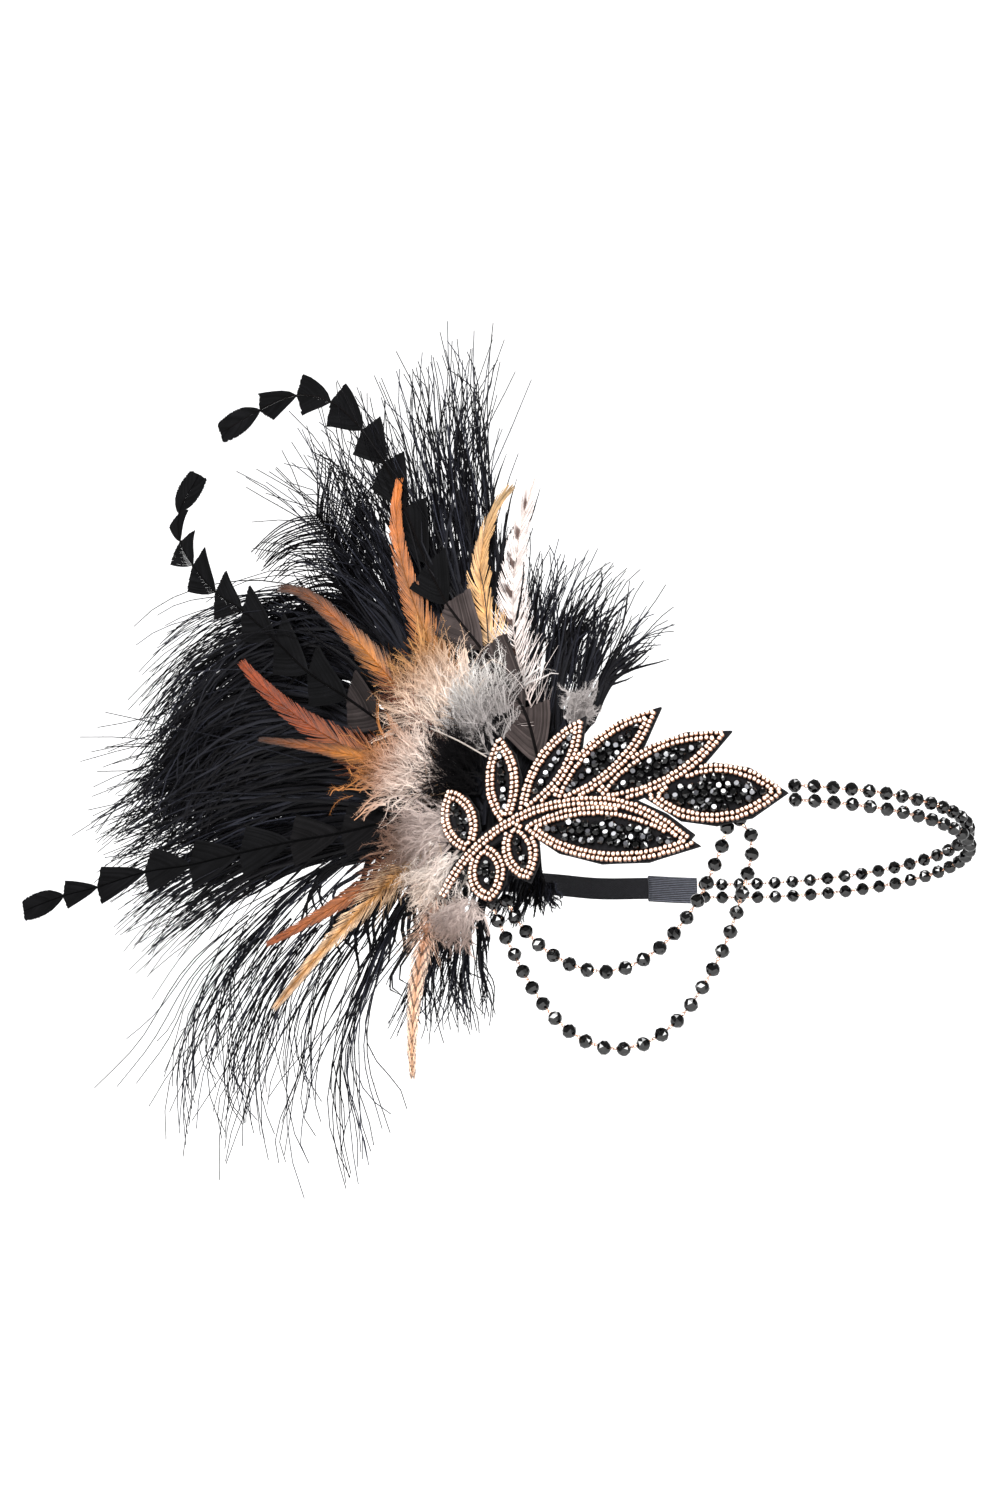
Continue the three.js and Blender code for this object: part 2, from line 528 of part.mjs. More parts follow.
// Outline of an arrow feather: from the quill each step widens to a corner, then falls back to the quill
function arrowFeather(arrow) {
  const line = featherLine(arrow, arrow.steps);
  const left = [];
  const right = [];
  const addPair = (k, at, half) => {
    const centre = line[k].clone().lerp(line[min(k + 1, arrow.steps)], at);
    const across = across2(line, k).multiplyScalar(half);
    left.push(centre.clone().add(across));
    right.push(centre.clone().sub(across));
  };
  addPair(0, 0, QUILL_WIDTH / 2);
  for (let k = 0; k < arrow.steps; k += 1) {
    const taper = share(1, TIP_SHARE, (k / arrow.steps) ** TAPER_POWER);
    addPair(k, CORNER_SHARE, taper * arrow.width * FAN_REACH / 2);
    addPair(k + 1, 0, QUILL_WIDTH / 2);
  }
  return new THREE.Shape([...right, ...left.reverse()]);
}

ARROWS.forEach((arrow, k) => {
  const outline = arrowFeather(arrow);
  const flat = new THREE.ExtrudeGeometry(outline, { depth: ARROW_THICKNESS, bevelEnabled: false });
  flat.deleteAttribute('normal');
  flat.deleteAttribute('uv');
  const merged = mergeVertices(flat, 1e-4);
  const position = merged.attributes.position;
  for (let i = 0; i < position.count; i += 1) {
    const place = fanPlace(position.getX(i), position.getY(i), arrowDepth + position.getZ(i), 0);
    position.setXYZ(i, place.x, place.y, place.z);
  }
  const points = Array.from({ length: position.count },
    (_, i) => new THREE.Vector3().fromBufferAttribute(position, i));
  const index = [...merged.index.array];
  const faces = Array.from({ length: index.length / 3 }, (_, i) => index.slice(3 * i, 3 * i + 3));
  addPiece(`arrow_feather_${k + 1}`, closedGeometry(points, faces), 'goose', leaf);
});

// A plume's flat head starts a little past the hub, where all heads cross, and forks into tapering locks.
// A lock's width is a share of the distance to its neighbours, so that locks never meet.
const LOCK_SHARE = 0.8;
const LOCK_TAPER = 0.7;
const SHORT_TIP = 0.5;
const PLUME_POWER = 1.4;
const HEAD_WIDTH = 7;
const HEAD_START = 3;
const STATIONS = 5;

function ostrichPlume(plume, layer) {
  const depth = plumeDepth(layer);
  const lines = Array.from({ length: plume.locks }, (_, k) => {
    const t = k / (plume.locks - 1);
    return featherLine({
      rootX: plume.rootX,
      rootZ: plume.rootZ,
      power: PLUME_POWER,
      heading: share(plume.headings[0], plume.headings[1], t),
      turn: share(plume.turns[0], plume.turns[1], t),
      length: share(plume.lengths[0], plume.lengths[1], t),
    }, STATIONS);
  });
  const points = [];
  const faces = [];
  const addPair = (spot) => {
    for (const behind of [0, LOCK_THICKNESS]) points.push(fanPlace(spot.x, spot.y, depth + behind, layer));
    return points.length - 2;
  };
  const quad = (a, b, c, d) => faces.push([a, b, c], [a, c, d]);
  const wall = (from, to) => quad(from, to, to + 1, from + 1);
  const sheet = (a, b, c, d) => {
    quad(a, b, c, d);
    faces.push([a + 1, c + 1, b + 1], [a + 1, d + 1, c + 1]);
  };
  const outwards = lines[0][0].clone().sub(hub).normalize();
  const side = Math.sign(plume.headings[1] - plume.headings[0]);
  const acrossRoot = new THREE.Vector2(-outwards.y, outwards.x).multiplyScalar(side * HEAD_WIDTH);
  const root = hub.clone().addScaledVector(outwards, -HEAD_START);
  const roots = [];
  const forks = [];
  for (let j = 0; j <= plume.locks; j += 1) {
    roots.push(addPair(root.clone().addScaledVector(acrossRoot, j / plume.locks - 0.5)));
    const [before, after] = [lines[max(j - 1, 0)][1], lines[min(j, plume.locks - 1)][1]];
    const fork = before.clone().add(after).multiplyScalar(0.5);
    if (j === 0) fork.add(lines[0][1].clone().sub(lines[1][1]).multiplyScalar(0.5));
    if (j === plume.locks) {
      fork.add(lines[plume.locks - 1][1].clone().sub(lines[plume.locks - 2][1]).multiplyScalar(0.5));
    }
    forks.push(addPair(fork));
  }
  // Point beside lock j at a station, towards the lock before it (-1) or after it (1)
  const beside = (j, k, way) => {
    const [own, other] = [lines[j][k], lines[j + way] ? lines[j + way][k] : null];
    const apart = other ? other.clone().sub(own) : own.clone().sub(lines[j - way][k]);
    const taper = 1 - LOCK_TAPER * (k - 2) / (STATIONS - 2);
    return own.clone().addScaledVector(apart, taper * LOCK_SHARE / 2);
  };
  lines.forEach((line, j) => {
    wall(roots[j + 1], roots[j]);
    sheet(roots[j], roots[j + 1], forks[j + 1], forks[j]);
    let [low, high] = [forks[j], forks[j + 1]];
    for (let k = 2; k < STATIONS; k += 1) {
      const [nextLow, nextHigh] = [addPair(beside(j, k, -1)), addPair(beside(j, k, 1))];
      sheet(low, high, nextHigh, nextLow);
      wall(low, nextLow);
      wall(nextHigh, high);
      [low, high] = [nextLow, nextHigh];
    }
    const tip = addPair(line[STATIONS - 1].clone().lerp(line[STATIONS], j % 2 ? SHORT_TIP : 1));
    faces.push([low, high, tip], [tip + 1, high + 1, low + 1]);
    wall(low, tip);
    wall(tip, high);
  });
  wall(roots[0], forks[0]);
  wall(forks[plume.locks], roots[plume.locks]);
  return closedGeometry(points, faces);
}

PLUMES.forEach((plume, layer) => {
  addPiece(`ostrich_plume_${layer + 1}`, ostrichPlume(plume, layer), 'ostrich', leaf);
});

// Downy fluffs round the roots: domes with a ragged rim, cut clear of the felt in front of them
const FLUFFS = [
  { x: -0.555, z: 0.45, halfWidth: 0.11, halfHeight: 0.1, material: 'pale_fluff' },
  { x: -0.66, z: 0.225, halfWidth: 0.115, halfHeight: 0.09, material: 'pale_fluff' },
  { x: -0.35, z: 0.315, halfWidth: 0.075, halfHeight: 0.14, material: 'pale_fluff' },
  { x: -0.475, z: 0.2, halfWidth: 0.062, halfHeight: 0.105, material: 'black_fluff' },
  { x: -0.575, z: -0.01, halfWidth: 0.095, halfHeight: 0.08, material: 'pale_fluff' },
  { x: -0.525, z: -0.15, halfWidth: 0.075, halfHeight: 0.06, material: 'pale_fluff' },
  { x: -0.45, z: -0.275, halfWidth: 0.06, halfHeight: 0.055, material: 'pale_fluff' },
];
const FLUFF_POINTS = 14;
const BACK_SHARE = 0.4;
const FRONT_SHARE = 0.55;
const NOTCH_SHARE = 0.82;
const clearOfFelt = [...LEAFLETS.map((leaflet) => lensOutline(leaflet, FELT_MARGIN + GAP)),
  stemOutline(BORDER_WIDTH / 2 + FELT_MARGIN + GAP)].map(outlinePrism).reduce((all, next) => all.add(next))
  .intersect(bentPlate(-LEAF_LENGTH / 4, fluffDepth));

FLUFFS.forEach((fluff, index) => {
  const ring = (scale, depth, notch) => Array.from({ length: FLUFF_POINTS }, (_, k) => {
    const reach = scale * (k % 2 ? notch : 1) * LEAF_LENGTH;
    const angle = k * 2 * PI / FLUFF_POINTS;
    return fanPlace(fluff.x * LEAF_LENGTH + fluff.halfWidth * reach * cos(angle),
      fluff.z * LEAF_LENGTH + fluff.halfHeight * reach * sin(angle), depth, FRONT_LAYER);
  });
  const dome = toSolid(loft([
    ring(BACK_SHARE, fluffDepth + FLUFF_DEPTH, 1),
    ring(1, fluffDepth + FLUFF_DEPTH / 2, NOTCH_SHARE),
    ring(FRONT_SHARE, fluffDepth - FLUFF_RISE, 1),
  ]));
  const cut = dome.subtract(clearOfFelt).decompose().sort((a, b) => b.volume() - a.volume())[0];
  addPiece(`fluff_${index + 1}`, toGeometry(cut), fluff.material, leaf);
});

export default headband;
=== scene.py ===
# %% [markdown]
# # Flapper feather headband
# A beaded leaf sits at the side of the head, with a fan of feathers behind it. Two strands of faceted beads and
# an elastic close the loop round the head, and two more strings of beads hang below the leaf.
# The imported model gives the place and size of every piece. This lesson dresses it: feathers are built barb by
# barb, beads one by one, all as numpy arrays that are put into a few meshes.

# %% Load the frame
import math

import bpy
import numpy as np
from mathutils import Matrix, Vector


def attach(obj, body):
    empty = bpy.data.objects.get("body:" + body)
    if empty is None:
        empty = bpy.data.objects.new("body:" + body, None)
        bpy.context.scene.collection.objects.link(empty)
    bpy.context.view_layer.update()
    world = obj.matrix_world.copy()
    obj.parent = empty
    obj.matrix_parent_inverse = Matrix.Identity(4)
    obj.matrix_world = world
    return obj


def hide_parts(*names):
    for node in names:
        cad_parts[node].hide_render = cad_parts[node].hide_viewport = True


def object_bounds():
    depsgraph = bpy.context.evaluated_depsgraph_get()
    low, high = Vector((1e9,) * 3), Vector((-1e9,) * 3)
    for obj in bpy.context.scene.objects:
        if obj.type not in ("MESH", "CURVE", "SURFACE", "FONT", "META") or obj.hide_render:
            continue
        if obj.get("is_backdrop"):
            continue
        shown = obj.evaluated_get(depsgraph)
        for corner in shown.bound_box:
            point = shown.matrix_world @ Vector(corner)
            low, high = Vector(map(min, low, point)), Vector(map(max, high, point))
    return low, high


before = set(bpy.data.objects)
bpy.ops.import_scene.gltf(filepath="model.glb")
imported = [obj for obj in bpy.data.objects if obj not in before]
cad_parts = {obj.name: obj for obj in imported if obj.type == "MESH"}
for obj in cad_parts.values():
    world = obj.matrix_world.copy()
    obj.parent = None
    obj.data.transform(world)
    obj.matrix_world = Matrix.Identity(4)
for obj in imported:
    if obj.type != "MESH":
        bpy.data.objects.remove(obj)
cad_box = [list(corner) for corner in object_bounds()]
print("nodes", len(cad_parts), "box", np.round(cad_box, 3).tolist())

# %% [markdown]
# The leaf is a stiff felt that bends round the head, and every feather follows the same bend, only further
# behind. So all shapes are drawn flat, in millimetres, as x along the leaf, z up and a depth behind the felt,
# and one function carries them to their place on the head. That keeps each drawing as simple as on paper.

# %% Place on the head
MM = 0.001
LOOP_HALF_LENGTH = 95.0
LOOP_HALF_WIDTH = 66.0
STRAND_START = -84.2
LEAF_LENGTH = 142.0
LEAF_RADIUS = 220.0
LEAF_TURN = math.radians(-20)
FLAT_FROM = -0.32 * LEAF_LENGTH
FELT = 1.6
FAN_REACH = 290.0
FAN_DISH = 26.0
FAN_OPENING = 1.6
HUB = np.array([-0.3, 0.06]) * LEAF_LENGTH
FRONT = np.array([0.0, -1.0, 0.0])
TURNED = np.array([[math.cos(LEAF_TURN), math.sin(LEAF_TURN), 0], [-math.sin(LEAF_TURN), math.cos(LEAF_TURN), 0],
                   [0, 0, 1]])


def felt_back(x):
    """Depth of the felt's back at x: an arc of the leaf's radius, run on straight to the left of FLAT_FROM."""
    bent = np.maximum(x, FLAT_FROM)
    slope = FLAT_FROM / math.sqrt(LEAF_RADIUS**2 - FLAT_FROM**2)
    arc = math.sqrt(LEAF_RADIUS**2 - (LEAF_LENGTH / 2) ** 2) - np.sqrt(LEAF_RADIUS**2 - bent**2)
    return arc + slope * (x - bent)


def leaf_place(spots, depth):
    """Points in the leaf's own frame: x and z as given, y the felt's back plus the depth behind it."""
    x, z = spots[..., 0], spots[..., 1]
    return np.stack([x, felt_back(x) + depth, z], axis=-1)


def fan_place(spots, depth, layer=0.0):
    """As leaf_place, but the layers part in proportion to their reach from the hub, and dish with its square."""
    reach = np.linalg.norm(spots - HUB, axis=-1) / FAN_REACH
    return leaf_place(spots, depth + layer * FAN_OPENING * reach - FAN_DISH * reach**2)


def loop_point(degrees, height=0.0):
    """Point of the head loop's ellipse at an angle, at a height above its plane."""
    angle = np.radians(np.asarray(degrees, float))
    return np.stack([LOOP_HALF_LENGTH * np.cos(angle), LOOP_HALF_WIDTH * np.sin(angle),
                     np.broadcast_to(height, angle.shape)], axis=-1)


CHAIN_HOLD = 4.0
LEAF_PLACE = loop_point(STRAND_START) - leaf_place(np.array([LEAF_LENGTH / 2 - CHAIN_HOLD, 0.0]), 0.75) @ TURNED


def on_head(points):
    """From the leaf's frame to the head's: turned about the upright axis, then moved."""
    return points @ TURNED + LEAF_PLACE


print("leaf stands at", np.round(LEAF_PLACE, 2))

# %% [markdown]
# A shape here is a small bundle of arrays: its points, its faces with four corners, its faces with three, and
# named marks, one number for each point, that the materials read later. Shapes are joined by shifting the face
# numbers. A last test of the signed volume turns a shape whose faces point inwards.

# %% Shapes as arrays
def unit(vectors):
    """Each vector divided by its length."""
    return vectors / np.maximum(np.linalg.norm(vectors, axis=-1, keepdims=True), 1e-9)


def shape(points, quads=(), tris=(), **marks):
    """Bundle of points, faces and marks."""
    points = np.asarray(points, float).reshape(-1, 3)
    marks = {name: np.broadcast_to(value, len(points)).astype(float) if np.ndim(value) == 0
             else np.asarray(value, float).reshape(-1) for name, value in marks.items()}
    return {"points": points, "quads": np.asarray(quads, int).reshape(-1, 4),
            "tris": np.asarray(tris, int).reshape(-1, 3), "marks": marks}


def join(*shapes):
    """One shape of many: each one's face numbers are shifted by the points before it."""
    starts = np.cumsum([0] + [len(s["points"]) for s in shapes])
    names = sorted({name for s in shapes for name in s["marks"]})
    marks = {name: np.concatenate([s["marks"].get(name, np.zeros(len(s["points"]))) for s in shapes])
             for name in names}
    return {"points": np.concatenate([s["points"] for s in shapes]),
            "quads": np.concatenate([s["quads"] + start for s, start in zip(shapes, starts)]),
            "tris": np.concatenate([s["tris"] + start for s, start in zip(shapes, starts)]),
            "marks": marks}


def turned_out(made):
    """Flips all faces if the signed volume, the sum of corner . (corner x corner), is negative."""
    points, quads, tris = made["points"], made["quads"], made["tris"]
    fans = np.concatenate([quads[:, [0, 1, 2]], quads[:, [0, 2, 3]], tris])
    a, b, c = (points[fans[:, k]] for k in range(3))
    if np.einsum("ij,ij->i", a, np.cross(b, c)).sum() < 0:
        made["quads"], made["tris"] = quads[:, ::-1], tris[:, ::-1]
    return made


def moved(made, change):
    """The same shape with its points passed through a function."""
    return dict(made, points=change(made["points"]))


def add_piece(name, made, material, nodes, smooth=False):
    """Mesh object from a shape in millimetres: points, loops and polygons go in as whole arrays."""
    made = turned_out(made)
    sizes = np.concatenate([np.full(len(made["quads"]), 4), np.full(len(made["tris"]), 3)])
    corners = np.concatenate([made["quads"].reshape(-1), made["tris"].reshape(-1)])
    mesh = bpy.data.meshes.new(name)
    mesh.vertices.add(len(made["points"]))
    mesh.vertices.foreach_set("co", (made["points"] * MM).reshape(-1))
    mesh.loops.add(len(corners))
    mesh.loops.foreach_set("vertex_index", corners)
    mesh.polygons.add(len(sizes))
    mesh.polygons.foreach_set("loop_start", np.concatenate([[0], np.cumsum(sizes)[:-1]]))
    mesh.polygons.foreach_set("use_smooth", np.full(len(sizes), smooth))
    mesh.update(calc_edges=True)
    mesh.validate()
    for mark, values in made["marks"].items():
        layer = mesh.attributes.new(mark, "FLOAT", "POINT")
        layer.data.foreach_set("value", values.astype(np.float32))
    mesh.materials.append(material)
    piece = bpy.data.objects.new(name, mesh)
    bpy.context.scene.collection.objects.link(piece)
    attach(piece, "root")
    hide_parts(*nodes)
    print(name, "triangles", 2 * len(made["quads"]) + len(made["tris"]))
    return piece


# %% [markdown]
# Almost everything on a feather is a strand: the quill, each barb and each hair of down. A strand could be a
# Blender curve with a bevel, but thousands of curves are slow and heavy. Three corners per station are enough
# for something thinner than a millimetre, and many strands of equal stations fit one array.

# %% Strands and hairs
def strands(paths, widths, thickness=0.8, front=FRONT, **marks):
    """Three-sided tubes: ring = path -/+ side * width / 2, and path + front * width * thickness.

    The side is along x front."""
    along = unit(np.gradient(paths, axis=1))
    side = unit(np.cross(along, front))
    face = unit(np.cross(side, along))
    face = face * np.sign(np.sum(face * front, axis=-1, keepdims=True) + 1e-9)
    half = side * widths[..., None] / 2
    rings = np.stack([paths - half, paths + half, paths + face * (widths * thickness)[..., None]], axis=2)
    count, stations = paths.shape[:2]
    index = np.arange(count * stations * 3).reshape(count, stations, 3)
    here, there = index[:, :-1], index[:, 1:]
    quads = np.stack([here, np.roll(here, -1, axis=2), np.roll(there, -1, axis=2), there], axis=-1)
    caps = np.concatenate([index[:, 0, ::-1], index[:, -1]])
    spread = {name: np.broadcast_to(np.asarray(value)[..., None], rings.shape[:3]) for name, value in marks.items()}
    return shape(rings, quads, caps, **spread)


def hairs(roots, tips, widths, front=FRONT, **marks):
    """Pointed hairs: three corners round the root and one at the tip."""
    along = unit(tips - roots)
    side = unit(np.cross(along, front))
    face = unit(np.cross(side, along))
    half = side * widths[:, None] / 2
    corners = np.stack([roots - half, roots + half, roots + face * widths[:, None] * 0.8, tips], axis=1)
    first = 4 * np.arange(len(roots))[:, None, None]
    tris = first + np.array([[0, 2, 1], [0, 1, 3], [1, 2, 3], [2, 0, 3]])
    spread = {name: np.repeat(np.broadcast_to(value, len(roots)), 4) for name, value in marks.items()}
    return shape(corners, (), tris, **spread)


def lines(roots, heading, turn, power, length, stations):
    """Lines in the leaf's plane: heading + turn * share ** power, in degrees, and points by the running sum."""
    share = (np.arange(stations - 1) + 0.5) / (stations - 1)
    angle = np.radians(heading[:, None] + turn[:, None] * share ** power)
    stride = np.stack([np.cos(angle), np.sin(angle)], axis=-1) * (length / (stations - 1))[:, None, None]
    return np.concatenate([roots[:, None], roots[:, None] + np.cumsum(stride, axis=1)], axis=1)


def along_paths(paths, shares):
    """Points and directions at shares (count, places) of paths (count, stations, ...), between stations."""
    at = np.clip(shares, 0, 0.9999) * (paths.shape[1] - 1)
    low = at.astype(int)
    rows = np.arange(len(paths))[:, None]
    here, there = paths[rows, low], paths[rows, low + 1]
    return here + (there - here) * (at - low)[..., None], unit(there - here)


def fuzz(paths, places, reach, width, lean, dice, **marks):
    """Hairs on both sides of each path: root at a share, tip = reach * (along * cos lean +/- side * sin lean)."""
    count = len(paths)
    shares = np.linspace(0.04, 0.985, places)[None] + dice.uniform(-0.4, 0.4, (count, places)) / places
    roots, along = along_paths(paths, shares)
    side = unit(np.cross(along, FRONT)) * np.where(np.arange(places) % 2, 1, -1)[None, :, None]
    tilt = unit(side + FRONT * dice.normal(0, 0.5, (count, places, 1)))
    angle = np.radians(lean + dice.normal(0, 9, (count, places, 1)))
    fade = np.sqrt(np.clip(1.06 - shares, 0, 1))[..., None] * dice.uniform(0.7, 1.15, (count, places, 1))
    tips = roots + reach * fade * (along * np.cos(angle) + tilt * np.sin(angle))
    spread = {name: np.broadcast_to(np.asarray(value)[:, None], (count, places)).reshape(-1)
              for name, value in marks.items()}
    if "along" in spread:
        spread["along"] = shares.reshape(-1)
    flat = roots.reshape(-1, 3), tips.reshape(-1, 3)
    return hairs(*flat, np.full(count * places, width), **spread)


# %% [markdown]
# The camera stands a little below the headband and looks up at it by about twenty degrees, as in the
# photograph. The floor lies well below, since the headband is held up as a head would hold it, and rises behind
# it in one smooth sweep, so that no edge shows. Two large soft lights and a pale sky give wide, soft glints.

# %% Camera, floor and light
CAMERA_PLACE = (-0.0967, -0.9114, -0.2940)
CAMERA_TILT = 20.2
LENS, SENSOR = 56.0, 36.0
FLOOR_LEVEL = -0.46
SWEEP_FRONT, SWEEP_BACK, SWEEP_RADIUS = -4.0, 2.0, 1.2
SWEEP_HALF_WIDTH, SWEEP_TOP = 6.0, 4.5
SKY_STRENGTH = 0.25
LIGHTS = [  # name, place, target, size in metres, power in watts
    ("light_front", (-0.35, -1.25, 0.6), (-0.05, 0, 0), 0.55, 25),
    ("light_left", (-1.2, -0.8, 0.2), (-0.1, 0, 0), 0.45, 12),
    ("light_right", (0.9, -0.9, 0.1), (0, 0, 0), 0.4, 10),
    ("light_top", (0.0, -0.3, 1.3), (0, 0, 0), 0.6, 11)]


def add_camera():
    """Camera that looks along +Y, tilted up."""
    data = bpy.data.cameras.new("camera")
    data.lens, data.sensor_width = LENS, SENSOR
    camera = bpy.data.objects.new("camera", data)
    camera.location = CAMERA_PLACE
    camera.rotation_euler = (math.radians(90 + CAMERA_TILT), 0, 0)
    bpy.context.scene.collection.objects.link(camera)
    bpy.context.scene.camera = camera


def add_sweep(material):
    """Floor and backdrop in one: a level run, a quarter circle and an upright run, carried along x."""
    turn = np.linspace(0, math.pi / 2, 24)
    bend = np.stack([SWEEP_BACK + SWEEP_RADIUS * np.sin(turn),
                     FLOOR_LEVEL + SWEEP_RADIUS * (1 - np.cos(turn))], axis=-1)
    profile = np.concatenate([[[SWEEP_FRONT, FLOOR_LEVEL]], bend, [[SWEEP_BACK + SWEEP_RADIUS, SWEEP_TOP]]])
    sides = np.array([-SWEEP_HALF_WIDTH, SWEEP_HALF_WIDTH])
    points = np.stack([np.broadcast_to(sides, (len(profile), 2)), np.repeat(profile[:, :1], 2, 1),
                       np.repeat(profile[:, 1:], 2, 1)], axis=-1).reshape(-1, 3)
    first = 2 * np.arange(len(profile) - 1)[:, None]
    mesh = bpy.data.meshes.new("floor_sweep")
    mesh.from_pydata(points.tolist(), [], (first + np.array([0, 1, 3, 2])).tolist())
    mesh.polygons.foreach_set("use_smooth", np.ones(len(first), bool))
    mesh.materials.append(material)
    sweep = bpy.data.objects.new("floor_sweep", mesh)
    bpy.context.scene.collection.objects.link(sweep)
    sweep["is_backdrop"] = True


def add_light(name, place, target, size, power):
    """Square area light that faces its target."""
    data = bpy.data.lights.new(name, "AREA")
    data.shape, data.size, data.energy = "SQUARE", size, power
    light = bpy.data.objects.new(name, data)
    light.location = place
    away = np.array(place) - np.array(target)
    lean, bearing = math.acos(away[2] / np.linalg.norm(away)), math.atan2(away[1], away[0])
    light.rotation_euler = (lean, 0, bearing + math.pi / 2)
    bpy.context.scene.collection.objects.link(light)


add_camera()
for light_row in LIGHTS:
    add_light(*light_row)
sky = bpy.data.worlds.new("sky")
sky.use_nodes = True
sky.node_tree.nodes["Background"].inputs["Color"].default_value = (1, 1, 1, 1)
sky.node_tree.nodes["Background"].inputs["Strength"].default_value = SKY_STRENGTH
bpy.context.scene.world = sky
bpy.context.scene.view_settings.view_transform = "Standard"

# %% [markdown]
# Every finish here is a Principled shader with a little uneven colour. The unevenness is the same effect on
# felt, feather and ribbon, only at another scale, so it is one node group with four inputs, placed in each
# material with its own values. It puts out a colour, and the shader stays in the material itself.

# %% Uneven colour as a node group
def rgb(red, green, blue):
    """Colour from 0 to 255 as the eye reads it, made linear with the power 2.2."""
    return tuple((value / 255) ** 2.2 for value in (red, green, blue)) + (1.0,)


def mark_of(tree, name):
    """Output that reads a mark of the mesh."""
    node = tree.nodes.new("ShaderNodeAttribute")
    node.attribute_name = name
    return node.outputs["Fac"]


def feed(tree, socket, value):
    """Links a socket into the given one, or sets a plain value on it."""
    if hasattr(value, "is_linked"):
        tree.links.new(value, socket)
    else:
        socket.default_value = value


def math_node(tree, kind, *values, clamp=False):
    """Output of a Math node; each value may be a number or a socket."""
    node = tree.nodes.new("ShaderNodeMath")
    node.operation, node.use_clamp = kind, clamp
    for socket, value in zip(node.inputs, values):
        feed(tree, socket, value)
    return node.outputs[0]


def dimmed(tree, colour, factor):
    """Output of a colour socket times a number socket."""
    node = tree.nodes.new("ShaderNodeVectorMath")
    node.operation = "SCALE"
    tree.links.new(colour, node.inputs[0])
    tree.links.new(factor, node.inputs["Scale"])
    return node.outputs[0]


def new_group(name, colours, numbers):
    """Node group with these colour and number inputs and a Color output, with its two end nodes."""
    group = bpy.data.node_groups.new(name, "ShaderNodeTree")
    for socket in colours:
        group.interface.new_socket(socket, in_out="INPUT", socket_type="NodeSocketColor")
    for socket in numbers:
        group.interface.new_socket(socket, in_out="INPUT", socket_type="NodeSocketFloat")
    group.interface.new_socket("Color", in_out="OUTPUT", socket_type="NodeSocketColor")
    return group, group.nodes.new("NodeGroupInput"), group.nodes.new("NodeGroupOutput")


def noise_in(tree):
    """Noise node on Object coordinates."""
    place, noise = tree.nodes.new("ShaderNodeTexCoord"), tree.nodes.new("ShaderNodeTexNoise")
    tree.links.new(place.outputs["Object"], noise.inputs["Vector"])
    return noise


def make_uneven():
    """Group: Color * (1 + 3 Amount (noise - 0.5)) * (1 + Streak (2 tone - 1)), with the tone from its mark."""
    group, given, result = new_group("uneven_colour", ["Color"], ["Scale", "Amount", "Streak"])
    group.interface.new_socket("Grain", in_out="OUTPUT", socket_type="NodeSocketFloat")
    noise = noise_in(group)
    noise.inputs["Detail"].default_value = 4
    group.links.new(given.outputs["Scale"], noise.inputs["Scale"])
    spread = math_node(group, "SUBTRACT", noise.outputs["Fac"], 0.5)
    change = math_node(group, "MULTIPLY_ADD", math_node(group, "MULTIPLY", spread, given.outputs["Amount"]), 3.0, 1.0)
    middle = math_node(group, "MULTIPLY_ADD", mark_of(group, "tone"), 2.0, -1.0)
    streak = math_node(group, "MULTIPLY_ADD", middle, given.outputs["Streak"], 1.0)
    grained = dimmed(group, given.outputs["Color"], change)
    group.links.new(dimmed(group, grained, streak), result.inputs["Color"])
    group.links.new(noise.outputs["Fac"], result.inputs["Grain"])
    return group


uneven = make_uneven()


def new_material(name, colour, roughness, scale=200.0, amount=0.3, bump=0.0, streak=0.0, **sockets):
    """Principled material: uneven colour, and the same grain as bump. Further values go to sockets by name."""
    material = bpy.data.materials.new(name)
    material.use_nodes = True
    tree = material.node_tree
    shader = tree.nodes["Principled BSDF"]
    shader.inputs["Roughness"].default_value = roughness
    for socket, value in sockets.items():
        shader.inputs[socket.replace("_", " ")].default_value = value
    group = tree.nodes.new("ShaderNodeGroup")
    group.name, group.node_tree = "uneven", uneven
    group.inputs["Color"].default_value = colour
    group.inputs["Scale"].default_value = scale
    group.inputs["Amount"].default_value = amount
    group.inputs["Streak"].default_value = streak
    tree.links.new(group.outputs["Color"], shader.inputs["Base Color"])
    if bump:
        height = tree.nodes.new("ShaderNodeBump")
        height.inputs["Strength"].default_value = bump
        height.inputs["Distance"].default_value = 0.0004
        tree.links.new(group.outputs["Grain"], height.inputs["Height"])
        tree.links.new(height.outputs["Normal"], shader.inputs["Normal"])
    return material


def ramp(tree, value, stops, hard=False):
    """Colour ramp with named stops: a list of (share, colour)."""
    node = tree.nodes.new("ShaderNodeValToRGB")
    node.color_ramp.interpolation = "CONSTANT" if hard else "EASE"
    while len(node.color_ramp.elements) < len(stops):
        node.color_ramp.elements.new(0.5)
    for element, (share, colour) in zip(node.color_ramp.elements, stops):
        element.position, element.color = share, colour
    tree.links.new(value, node.inputs["Fac"])
    return node.outputs["Color"]


def mixed(tree, factor, one, two, blend="MIX"):
    """Mix of two colours; each may be a colour or a socket."""
    node = tree.nodes.new("ShaderNodeMix")
    node.data_type, node.blend_type = "RGBA", blend
    for socket, value in zip((node.inputs["Factor"], node.inputs[6], node.inputs[7]), (factor, one, two)):
        feed(tree, socket, value)
    return node.outputs[2]


def coloured(material, colour):
    """Feeds a colour socket into the material's uneven group."""
    material.node_tree.links.new(colour, material.node_tree.nodes["uneven"].inputs["Color"])


